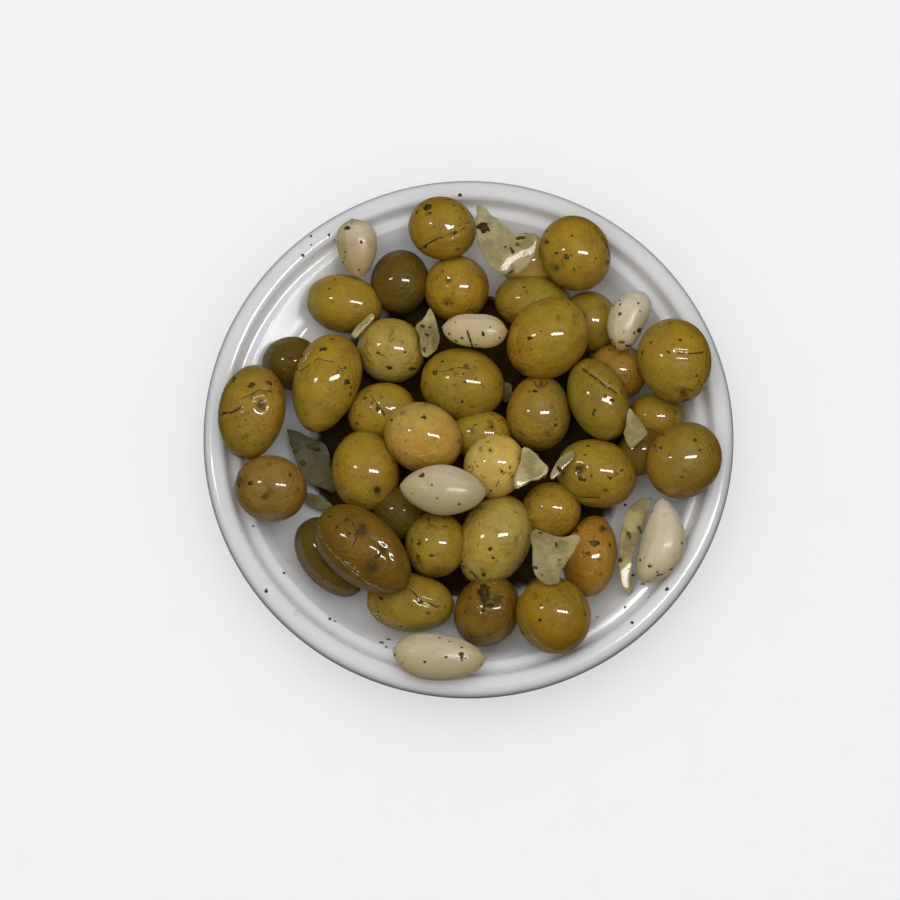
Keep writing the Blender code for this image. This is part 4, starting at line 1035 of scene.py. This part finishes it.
# x, y, length, width and turn
LARGE_FLAKES = [
    (-13.5, 75.8, 4.7, 3.3, -20), (-12.8, 73.8, 2.0, 1.3, 0), (-14.5, 62.5, 3.0, 1.3, 15),
    (-10.5, 65.2, 1.7, 1.0, 30), (-4.5, 67.2, 1.7, 1.0, 30), (-3.5, 61.8, 2.0, 1.3, 0),
    (-1.8, 75.8, 1.7, 1.0, 0), (-1.5, 68.8, 1.3, 1.0, 0), (-6.5, 78.8, 2.0, 1.0, 10),
    (25.8, 64.2, 2.0, 2.0, 0), (29.2, 55.5, 3.7, 2.0, 0), (29.5, 60.5, 1.7, 1.3, 0),
    (32.5, 59.2, 2.7, 1.7, 0), (34.5, 66.2, 1.3, 1.0, 0), (47.2, 57.2, 1.7, 2.3, 0),
    (25.5, 68.2, 1.7, 1.3, 0), (4.8, 68.8, 4.3, 3.7, 30), (14.5, 61.5, 3.0, 1.3, 60),
    (16.5, 63.2, 2.0, 1.3, 30), (12.2, 62.5, 1.0, 1.0, 0), (14.2, 54.2, 2.0, 1.3, -30),
    (17.2, 65.5, 4.0, 1.3, -10), (-6.8, 51.5, 2.0, 2.0, 0), (-7.2, 43.8, 3.0, 3.0, 0),
    (-8.5, 54.2, 1.0, 1.0, 0), (-48.5, 28.5, 3.0, 2.0, 10), (-40.5, 17.5, 3.0, 5.0, -15),
    (-45.5, 32.2, 1.7, 1.0, 0), (-41.2, 22.2, 1.3, 1.3, 0), (-38.8, 13.2, 1.7, 2.0, 0),
    (-78.5, 18.5, 3.0, 2.3, -40), (-72.2, 16.5, 3.0, 2.0, 20), (-66.2, 17.2, 2.7, 1.7, -30),
    (-68.8, 10.2, 3.0, 3.0, 0), (-74.2, 4.8, 1.0, 1.0, 0), (-81.2, 7.2, 2.7, 1.0, 0),
    (-76.8, 8.8, 2.0, 1.0, 20), (-30.2, 8.8, 2.0, 3.0, -30), (-34.5, 12.2, 2.0, 1.3, 0),
    (-32.2, 10.5, 1.0, 1.3, 0), (-37.2, 3.8, 2.0, 1.7, 0), (-26.2, 5.2, 1.3, 1.0, 0),
    (-14.8, 5.8, 2.0, 1.7, 0), (-26.2, 22.2, 2.7, 2.0, 0), (-18.8, 21.8, 4.0, 1.7, 10),
    (-21.2, 27.5, 1.0, 1.0, 0), (-30.2, 27.2, 1.7, 1.3, 0), (-15.5, 36.2, 1.7, 1.3, 0),
    (-11.2, 20.8, 2.3, 2.3, 0), (-0.8, 22.8, 2.0, 1.7, 0), (3.8, 28.5, 1.3, 1.0, 0),
    (-8.8, 24.5, 1.7, 1.0, 0), (10.5, 16.8, 1.3, 1.0, 0), (20.5, 32.2, 2.3, 1.3, 0),
    (33.5, 43.8, 1.0, 1.3, 0), (24.2, 34.5, 1.0, 0.7, 0), (57.5, 27.5, 1.7, 1.3, 0),
    (66.8, 27.5, 1.7, 1.0, 0), (70.5, 31.5, 1.3, 1.3, 0), (76.2, 19.8, 1.3, 1.3, 0),
    (57.2, 34.8, 2.7, 2.0, 30), (60.8, 30.8, 1.7, 1.0, 0), (22.2, 14.5, 1.7, 1.3, 0),
    (24.2, 16.8, 2.0, 1.3, 0), (30.5, -1.8, 2.0, 1.0, 0), (29.2, 3.2, 1.7, 1.3, 0),
    (41.8, 7.2, 1.3, 2.0, 0), (42.2, 8.2, 1.0, 1.0, 0), (47.8, 11.5, 2.0, 1.3, 0),
    (45.8, 12.8, 1.3, 1.0, 0), (38.8, 20.8, 2.7, 1.0, -30), (7.2, -5.2, 2.0, 2.0, 0),
    (2.2, -9.2, 1.0, 1.0, 0), (11.2, -12.2, 1.0, 1.0, 0), (13.8, -10.8, 1.0, 1.3, 0),
    (6.5, -2.5, 1.3, 1.0, 0), (36.5, -11.2, 3.3, 4.3, 0), (37.5, -14.8, 3.0, 2.0, 0),
    (47.2, -14.5, 1.7, 1.3, 0), (49.5, -13.2, 1.3, 1.3, 0), (51.2, -11.8, 1.3, 1.3, 0),
    (45.8, -18.5, 1.7, 1.3, 0), (39.8, -3.8, 1.7, 1.3, 0), (38.8, -6.8, 1.3, 1.0, 0),
    (61.8, -3.5, 1.7, 1.3, 0), (63.8, -4.2, 1.3, 1.0, 0), (71.2, -14.2, 1.3, 1.0, 0),
    (75.5, -1.8, 1.7, 1.3, 0), (77.2, -5.2, 1.3, 1.0, 0), (41.5, -36.2, 4.7, 3.0, -10),
    (44.8, -31.2, 3.0, 2.3, 0), (39.8, -39.5, 2.0, 1.3, 0), (35.8, -31.8, 2.0, 1.3, 0),
    (47.2, -36.8, 1.0, 1.7, 0), (7.2, -38.2, 1.7, 1.7, 0), (8.2, -41.2, 1.3, 1.0, 0),
    (5.2, -46.8, 2.0, 1.7, 0), (-1.5, -40.5, 1.0, 1.0, 0), (3.8, -30.2, 1.0, 0.7, 0),
    (15.8, -25.8, 1.0, 1.0, 0), (-16.2, -36.2, 2.0, 1.3, 20), (-16.8, -40.5, 1.7, 1.3, 0),
    (-12.2, -40.2, 1.7, 1.3, 0), (-13.5, -31.2, 1.0, 1.0, 0), (-18.8, -35.2, 1.0, 1.0, 0),
    (4.8, -52.5, 4.3, 5.3, 0), (7.2, -57.2, 2.7, 2.0, 0), (10.5, -54.5, 2.7, 1.0, 40),
    (4.5, -59.2, 1.3, 1.3, 0), (-1.2, -59.2, 1.3, 1.7, 0), (12.5, -59.5, 1.0, 1.3, 0),
    (0.5, -54.5, 1.3, 1.3, 0), (-31.8, -43.5, 3.7, 2.3, 20), (-35.2, -30.8, 2.0, 1.7, -30),
    (-40.5, -28.5, 2.0, 1.3, 0), (-39.5, -32.8, 1.3, 1.0, 0), (-46.2, -27.2, 1.7, 1.0, 0),
    (-37.8, -33.8, 1.0, 1.7, 0), (-30.2, -40.5, 2.7, 1.3, 30), (-43.8, -30.8, 1.0, 1.0, 0),
    (-13.5, -59.5, 1.7, 1.3, 0), (-16.2, -55.8, 3.0, 1.3, 20), (-20.2, -51.8, 1.3, 1.0, 0),
    (-10.2, -57.2, 1.3, 1.0, 0), (-30.2, -59.2, 1.0, 1.0, 0), (23.8, -61.8, 1.3, 1.3, 0),
    (24.2, -56.8, 1.0, 1.0, 0), (30.5, -51.8, 1.0, 1.0, 0), (39.2, -59.5, 1.0, 2.0, 0),
    (-52.8, -4.2, 3.0, 1.3, 20), (-50.2, -5.2, 2.3, 1.3, -20), (-55.2, -9.5, 2.0, 2.0, 0),
    (-47.8, -2.2, 2.0, 1.0, 0), (-57.8, -5.8, 1.7, 1.3, 0), (-67.8, -20.8, 2.7, 1.7, 0),
    (-72.8, -16.2, 2.0, 1.7, 0), (-59.5, -13.5, 1.3, 1.3, 0), (-76.8, -16.2, 1.7, 2.7, 0),
    (-74.5, -9.2, 1.3, 1.3, 0), (-66.2, -10.2, 1.0, 1.0, 0), (-56.2, 26.5, 2.3, 1.3, 0),
    (-59.5, 25.5, 1.7, 1.3, 0), (-61.8, 28.2, 1.3, 1.3, 0), (-57.8, 22.2, 1.7, 1.7, 0),
    (-65.2, 29.8, 1.0, 1.3, 0), (-15.5, -13.5, 2.3, 2.0, 10), (-12.2, -16.8, 1.0, 1.0, 0),
    (-3.2, -23.2, 1.3, 1.3, 0), (-10.5, -21.2, 0.7, 0.7, 0), (-2.5, -73.5, 1.7, 3.7, 25),
    (-9.5, -67.2, 1.0, 1.0, 0), (-7.5, -74.2, 1.0, 1.0, 0), (-23.5, -68.5, 1.0, 1.0, 0),
    (-24.8, -73.5, 1.0, 1.3, 0), (-14.5, -75.8, 1.0, 1.0, 0), (-6.2, -68.5, 1.0, 0.7, 0),
    (-22.8, -64.5, 1.3, 0.7, 0), (50.5, 40.2, 1.3, 2.0, 0), (55.2, 33.8, 1.0, 1.0, 0),
    (53.2, 29.5, 2.3, 1.3, 0), (49.8, 45.2, 1.0, 0.7, 0), (47.8, 43.2, 1.0, 1.0, 0),
    (71.2, -36.2, 1.3, 1.3, 0), (60.5, -43.8, 1.7, 1.3, 0), (67.8, -45.2, 2.0, 1.3, 20),
    (63.8, -46.8, 3.3, 1.0, 15), (58.2, -50.2, 1.7, 1.0, 0), (57.2, -41.8, 1.3, 1.0, 0),
    (0.5, 31.5, 1.0, 7.7, 12), (4.8, 33.5, 1.3, 2.0, 30), (-6.5, 33.5, 1.0, 1.0, 0),
    (-4.2, 31.2, 1.3, 1.3, 0), (-2.2, 32.2, 1.3, 1.0, 0), (7.2, 35.8, 1.0, 0.7, 0),
    (10.5, 32.2, 1.3, 1.0, 0), (2.5, 29.8, 1.0, 1.0, 0), (-7.2, 30.2, 1.0, 1.0, 0),
    (-35.8, 64.2, 1.3, 1.3, 0), (-41.2, 60.8, 0.7, 1.3, 0), (-41.5, 58.5, 0.7, 0.7, 0),
    (-42.5, 57.2, 1.0, 1.0, 0), (-40.5, 68.8, 2.7, 1.7, 0), (-55.2, 59.8, 1.3, 1.3, 0),
    (-52.5, 66.2, 1.0, 1.0, 0), (-52.5, 63.2, 0.7, 0.7, 0), (-46.5, 66.5, 1.0, 1.0, 0),
    (-67.5, -52.2, 1.3, 1.7, 0), (-61.5, -46.2, 1.0, 1.0, 0), (-46.2, -61.5, 1.3, 1.3, 0),
    (-44.5, -62.2, 1.0, 0.7, 0), (-71.8, -30.5, 1.0, 0.7, 0), (-28.8, -68.8, 3.0, 2.0, 0),
    (-26.5, -67.8, 2.7, 1.7, 20), (-27.2, -70.5, 1.3, 1.0, 0), (66.2, -51.5, 1.3, 1.3, 0),
    (54.5, -62.8, 1.3, 1.3, 0), (52.2, -57.5, 1.0, 1.0, 0), (59.5, -53.8, 1.3, 0.7, 0),
    (0.5, -80.5, 1.0, 0.7, 0), (14.5, -67.2, 4.0, 1.7, 10), (17.2, -66.5, 2.7, 2.0, 0),
    (-2.8, 79.8, 1.7, 1.3, 0), (42.5, -60.2, 1.0, 1.0, 0), (-13.8, 33.2, 2.0, 1.3, 20),
    (-14.8, 28.2, 1.3, 2.0, 0), (-12.8, 35.8, 1.3, 1.0, 0), (26.2, -5.8, 1.0, 1.0, 0),
    (28.5, -8.5, 2.0, 1.3, 40), (30.5, -11.8, 2.7, 1.3, 40), (25.5, -14.5, 2.0, 1.0, 30),
    (53.5, -33.5, 1.7, 3.0, -20), (50.5, -41.8, 2.0, 1.7, 0), (57.2, -31.8, 1.3, 2.7, -20),
    (54.8, -46.8, 1.3, 1.0, 0), (52.2, -23.5, 1.3, 1.0, 0), (23.8, -32.8, 1.7, 1.0, 0),
    (29.2, -36.8, 1.0, 2.0, 0), (22.2, -44.5, 2.0, 1.3, 0), (17.8, -43.5, 1.7, 1.3, 0),
    (24.5, -46.8, 1.3, 1.0, 0), (30.5, -41.8, 1.0, 0.7, 0),
]
SMALL_FLAKES = 420
SMALLEST_FLAKE = 0.4
FLAKE_SIDES = 9

# A flake's edge above what it lies on, its raised middle, its hidden point below and what is under it
FLAKE_HEIGHT = 0.04
MIDDLE_HEIGHTS = (0.08, 0.16)
FLAKE_ROOT = 0.3
UNDER_RADIUS = 11.0

# How far beside a seen place a surface point may be, and what each mm of that counts towards the eye
NEAR = 1.0
AWAY_COST = 1.5


def nearest_to_eye(clouds, x, y):
    """Of all surface points, the one seen near a place and nearest to the eye, with its normal. It is
    then moved to that place along the surface."""
    places, points, normals = clouds
    away = np.hypot(places[:, 0] - x, places[:, 1] - y)
    near = np.flatnonzero(away < NEAR)
    best = near[np.argmax(points[near] @ SIGHT_BACK - AWAY_COST * away[near])]
    shift = (x - places[best, 0]) * SIGHT_RIGHT + (y - places[best, 1]) * SIGHT_UP
    return points[best] + shift - (shift @ normals[best]) * normals[best], normals[best]


def flake(place, normal, length, width, turn, rng):
    """A thin torn disc on a surface: an uneven ring round a raised middle, above a hidden lower point.
    The ring sinks by its distance squared over twice the radius of what it lies on. Returns points,
    faces, how near to the middle each point is and the flake's tone."""
    side = np.cross(SIGHT_UP, normal)
    side /= np.linalg.norm(side)
    ahead = np.cross(normal, side)
    angle = np.arange(FLAKE_SIDES) / FLAKE_SIDES * math.tau
    reach = rng.uniform(1.0, 1.5, FLAKE_SIDES)
    c, s = math.cos(math.radians(turn)), math.sin(math.radians(turn))
    u = reach * np.cos(angle) * length / 2
    v = reach * np.sin(angle) * width / 2
    flat = np.outer(u * c - v * s, side) + np.outer(u * s + v * c, ahead)
    lift = FLAKE_HEIGHT - (u * u + v * v) / (2 * UNDER_RADIUS)
    ring = place + flat + np.outer(lift, normal)
    middle_point = place + normal * rng.uniform(*MIDDLE_HEIGHTS)
    points = np.concatenate([[middle_point], ring, [place - normal * FLAKE_ROOT]])
    middle = np.concatenate([[1.0], np.zeros(FLAKE_SIDES), [1.0]])
    return points, spindle_faces(1, FLAKE_SIDES), middle, np.full(len(points), rng.random())


def surface_normals(points, polygons):
    """Unit normals at points: the sum of the faces round each one."""
    normals = np.zeros_like(points)
    for faces in polygons:
        first, second, third = (points[faces[:, k]] for k in range(3))
        cross = np.cross(second - first, third - first)
        for k in range(faces.shape[1]):
            np.add.at(normals, faces[:, k], cross)
    return normals / np.maximum(np.linalg.norm(normals, axis=1, keepdims=True), 1e-9)


def herb_leaf():
    """Dried leaf: green-brown to dark brown by the bit, dull, and torn away unevenly from its middle."""
    material, shader, place = new_finish("herb_leaf")
    middle, tone = place.field("middle"), place.field("tone")
    torn = (middle + (place.noise(1100.0, 3.0, 0.6) - 0.5) * 1.7).rise(0.24, 0.40)
    leaf = tone.blend((0.050, 0.026, 0.003, 1), (0.165, 0.120, 0.018, 1))
    veined = (place.noise(900.0, 2.0).rise(0.4, 0.6) * 0.4).blend(leaf, (0.050, 0.032, 0.006, 1))
    feed(shader, Base_Color=veined, Roughness=0.55 + tone * 0.2, Specular_IOR_Level=0.2, Alpha=torn)
    return material


shapes = list(OLIVE_SHAPES.values()) + list(CLOVE_SHAPES.values()) + list(ONION_SHAPES.values())
surface = np.concatenate([shape[0] for shape in shapes])
normals = np.concatenate([surface_normals(shape[0], shape[1]) for shape in shapes])
SEARCH_COLUMNS = 560
dish_points = turned_points(dish_profile(arc_step=8.0, run_step=1.0), SEARCH_COLUMNS)
dish_rings = (len(dish_points) - 2) // SEARCH_COLUMNS
dish_normals = surface_normals(dish_points, spindle_faces(dish_rings, SEARCH_COLUMNS))
everything = np.concatenate([surface, dish_points])
clouds = (seen_places(everything), everything, np.concatenate([normals, dish_normals]))
flakes = []
for x, y, length, width, turn in LARGE_FLAKES:
    flakes.append(flake(*nearest_to_eye(clouds, x, y), length, width, turn, rng))
upward = np.flatnonzero(normals[:, 2] > rng.uniform(-0.2, 0.6, len(normals)))
for index in rng.choice(upward, SMALL_FLAKES, replace=False):
    length = SMALLEST_FLAKE + rng.gamma(1.5, 0.26)
    flakes.append(flake(surface[index], normals[index], length, length * rng.uniform(0.5, 1.0),
                        rng.uniform(0, 360), rng))
points, polygons, middle, tone = join(flakes)
herbs = add_mesh("herb_flakes", points, [faces for faces in polygons if len(faces)])
float_field(herbs, "middle", middle)
float_field(herbs, "tone", tone)
herbs.data.materials.append(herb_leaf())
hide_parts("olives")
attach(herbs, "root")


# Drops of marinade
# A few drops of oily marinade have fallen on the dish beside the heap: flat clear domes, faintly
# yellow, that show mostly by the light on them.
DROPS = [(-50.8, -53.0, 1.3), (-57.4, -59.5, 0.9), (-59.8, -41.5, 1.2), (42.0, -61.0, 1.8),
         (-52.0, 58.5, 0.8), (-75.5, -32.0, 0.7)]
DROP_RINGS, DROP_COLUMNS = 5, 20
DROP_RISE = 0.22
DROP_FILM = 0.03
DROP_ROOT = 0.1
DROP_STRETCH = 0.12


def drop(x, y, radius):
    """A shallow dome on the dish, closed below: a share of its radius high, times 1 less the squared way
    out, in an outline that is a little longer than wide."""
    place, normal = nearest_to_eye(clouds, x, y)
    side = np.cross(SIGHT_UP, normal)
    side /= np.linalg.norm(side)
    ahead = np.cross(normal, side)
    reach = np.repeat((np.arange(DROP_RINGS) + 1) / DROP_RINGS, DROP_COLUMNS)
    turn = np.tile(np.arange(DROP_COLUMNS) / DROP_COLUMNS * math.tau, DROP_RINGS)
    out = reach * radius * (1 + DROP_STRETCH * np.sin(2 * turn + x))
    rise = DROP_RISE * radius * (1 - reach ** 2) + DROP_FILM
    ring = (place + np.outer(out * np.cos(turn), side) + np.outer(out * np.sin(turn), ahead)
            + np.outer(rise, normal))
    top = place + normal * (DROP_RISE * radius + DROP_FILM)
    points = np.concatenate([[top], ring, [place - normal * DROP_ROOT]])
    return points, spindle_faces(DROP_RINGS, DROP_COLUMNS)


def clear_marinade():
    """Oily marinade: nearly clear, pale yellow and glossy."""
    material, shader, place = new_finish("clear_marinade")
    cloud = place.noise(300.0)
    feed(shader, Base_Color=cloud.blend((0.80, 0.76, 0.58, 1), (0.86, 0.83, 0.70, 1)),
         Roughness=0.2, Coat_Weight=1.0, Coat_Roughness=0.02, Alpha=0.10 + cloud * 0.06)
    return material


points, polygons = join([drop(*row) for row in DROPS])
drops = add_mesh("marinade_drops", points, polygons)
drops.data.materials.append(clear_marinade())
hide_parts("dish")
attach(drops, "root")


# Torn skins
# On a few cracked olives the skin has come loose along an edge and curled up: a pale, half clear film
# that catches the light. Each is a flat strip laid along the edge where it is seen.
TORN_EDGES = [
    ([(-50.5, -29.8), (-49.2, -34.2), (-46.5, -38.2), (-43.2, -41.5)], 0.5),
    ([(-43.8, -40.8), (-40.8, -43.8), (-37.2, -46.8), (-33.2, -49.8), (-28.2, -51.5)], 0.6),
    ([(-41.5, -42.2), (-38.8, -43.8), (-36.2, -46.2)], 1.5),
    ([(-57.2, 18.8), (-55.8, 22.8), (-53.8, 27.5), (-51.5, 30.5)], 0.45),
    ([(-3.5, -41.8), (-1.5, -44.5), (0.8, -46.8), (3.8, -49.2)], 0.4),
    ([(-32.2, -57.8), (-30.5, -61.2), (-26.8, -64.2)], 0.35),
    ([(18.2, -62.5), (20.5, -66.5), (23.8, -69.5)], 0.4),
    ([(42.5, 67.5), (44.8, 64.2), (46.2, 60.2)], 0.3),
]
STRIP_STEPS, STRIP_SIDES = 28, 6
STRIP_LIFT = 0.12
STRIP_HALF = 0.10
SMOOTH_ROUNDS = 4


def strip(line, width):
    """A flat strip along seen places on what lies there: a smoothed path with a flat ring of six points
    at each step, as wide as the square root of the sine of the way along it."""
    line = np.array(line)
    t = np.linspace(0, len(line) - 1, STRIP_STEPS)
    places = np.stack([np.interp(t, np.arange(len(line)), line[:, k]) for k in (0, 1)], axis=-1)
    spread = [nearest_to_eye(clouds, x, y) for x, y in places]
    path = np.array([point + STRIP_LIFT * normal for point, normal in spread])
    kernel = np.array([0.25, 0.5, 0.25])
    for _ in range(SMOOTH_ROUNDS):
        inner = [np.convolve(path[:, k], kernel, "valid") for k in range(3)]
        path[1:-1] = np.stack(inner, axis=-1)
    along = np.gradient(path, axis=0)
    along /= np.linalg.norm(along, axis=1, keepdims=True)
    across = np.cross(along, SIGHT_BACK)
    across /= np.linalg.norm(across, axis=1, keepdims=True)
    upward = np.cross(across, along)
    swell = (width * np.sin(np.linspace(0.02, math.pi - 0.02, STRIP_STEPS)) ** 0.5)[:, None, None]
    angle = np.arange(STRIP_SIDES) / STRIP_SIDES * math.tau
    ring = (across[:, None] * np.cos(angle)[None, :, None] * 0.5 * swell
            + upward[:, None] * np.sin(angle)[None, :, None] * STRIP_HALF)
    body = (path[:, None] + ring).reshape(-1, 3)
    return np.concatenate([path[:1], body, path[-1:]]), spindle_faces(STRIP_STEPS, STRIP_SIDES)


def torn_skin():
    """Loose olive skin: brown to pale grey-green, half clear, wet and broken into patches."""
    material, shader, place = new_finish("torn_skin")
    cloud = place.noise(650.0, 3.0, 0.6)
    feed(shader, Base_Color=cloud.blend((0.10, 0.075, 0.03, 1), (0.50, 0.45, 0.32, 1)),
         Roughness=0.3, Coat_Weight=0.8, Coat_Roughness=0.06, Alpha=cloud.rise(0.40, 0.60) * 0.7)
    return material


points, polygons = join([strip(line, width) for line, width in TORN_EDGES])
torn = add_mesh("torn_skins", points, polygons)
torn.data.materials.append(torn_skin())
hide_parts("olives")
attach(torn, "root")


# Floor, light and camera
# A plain pale floor, a soft surround that is brighter above, and a large softbox overhead for the
# colours. Two small lamps light only the gloss: they put the small sharp lights on skins and glaze.
FLOOR_HALF = 3000.0
FLOOR_DROP = 0.4
SKY_STRENGTH = 0.62
AIM = (0.0, 0.0, 25.0)


def floor_finish():
    """Pale floor: matt, with a faint glow so that it stays as light as the photograph's background."""
    material, shader, place = new_finish("pale_floor")
    grain = place.noise(60.0)
    feed(shader, Base_Color=grain.blend((0.44, 0.44, 0.44, 1), (0.46, 0.46, 0.46, 1)), Roughness=0.9,
         Specular_IOR_Level=0.0, Emission_Color=(1.0, 1.0, 1.0, 1.0), Emission_Strength=0.545)
    return material


corners = np.array([(-1, -1), (1, -1), (1, 1), (-1, 1)]) * FLOOR_HALF
floor = add_mesh("floor", np.hstack([corners, np.full((4, 1), -FLOOR_DROP)]), [np.array([[0, 1, 2, 3]])])
floor.data.materials.append(floor_finish())
floor.visible_diffuse = False
floor.visible_glossy = False

world = bpy.context.scene.world or bpy.data.worlds.new("studio")
bpy.context.scene.world = world
world.use_nodes = True
direction = Wire(world.node_tree).node("ShaderNodeTexCoord", {}, {}, output=0)
sky = direction.axis_part(2).rise(0.10, 0.75).blend((0.16, 0.16, 0.16, 1), (1.0, 1.0, 1.0, 1))
background = world.node_tree.nodes["Background"]
world.node_tree.links.new(sky.socket, background.inputs["Color"])
background.inputs["Strength"].default_value = SKY_STRENGTH
world.cycles_visibility.glossy = False


def vector_angles(way):
    """Euler angles that turn -Z along a direction and leave local X without a turn about Z."""
    return (math.asin(way[1] / np.linalg.norm(way)), math.atan2(-way[0], -way[2]), 0.0)


def panel(name, place, size, power):
    """A rectangular light at a place in mm, aimed at the middle of the heap."""
    light = bpy.data.lights.new(name, "AREA")
    light.shape = "RECTANGLE"
    light.size, light.size_y = size[0] * MM, size[1] * MM
    light.energy = power
    lamp = bpy.data.objects.new(name, light)
    bpy.context.scene.collection.objects.link(lamp)
    lamp.location = np.array(place) * MM
    lamp.rotation_euler = vector_angles(np.array(AIM) - np.array(place))
    return lamp


softbox = panel("softbox", (-60, 160, 1000), (900, 900), 3.2)
softbox.visible_glossy = False
ceiling_lamp = panel("ceiling_lamp", (330, 0, 720), (430, 85), 3.2)
ceiling_lamp.visible_diffuse = False
far_window = panel("far_window", (-420, 90, 600), (120, 60), 0.45)
far_window.visible_diffuse = False

FRAME_PIXELS = 900
PIXELS_PER_MM = 3.0
RIM_MIDDLE_PIXEL = (468.5, 434.5)
camera = bpy.data.cameras.new("camera")
camera.sensor_width = 36.0
camera.lens = camera.sensor_width * VIEW_DISTANCE * PIXELS_PER_MM / FRAME_PIXELS
camera.shift_x = (FRAME_PIXELS / 2 - RIM_MIDDLE_PIXEL[0]) / FRAME_PIXELS
camera.shift_y = (RIM_MIDDLE_PIXEL[1] - FRAME_PIXELS / 2) / FRAME_PIXELS
camera.clip_start = 0.01
viewer = bpy.data.objects.new("camera", camera)
bpy.context.scene.collection.objects.link(viewer)
viewer.location = EYE * MM
viewer.rotation_euler = vector_angles(-SIGHT_BACK)
bpy.context.scene.camera = viewer
bpy.context.scene.view_settings.view_transform = "Standard"
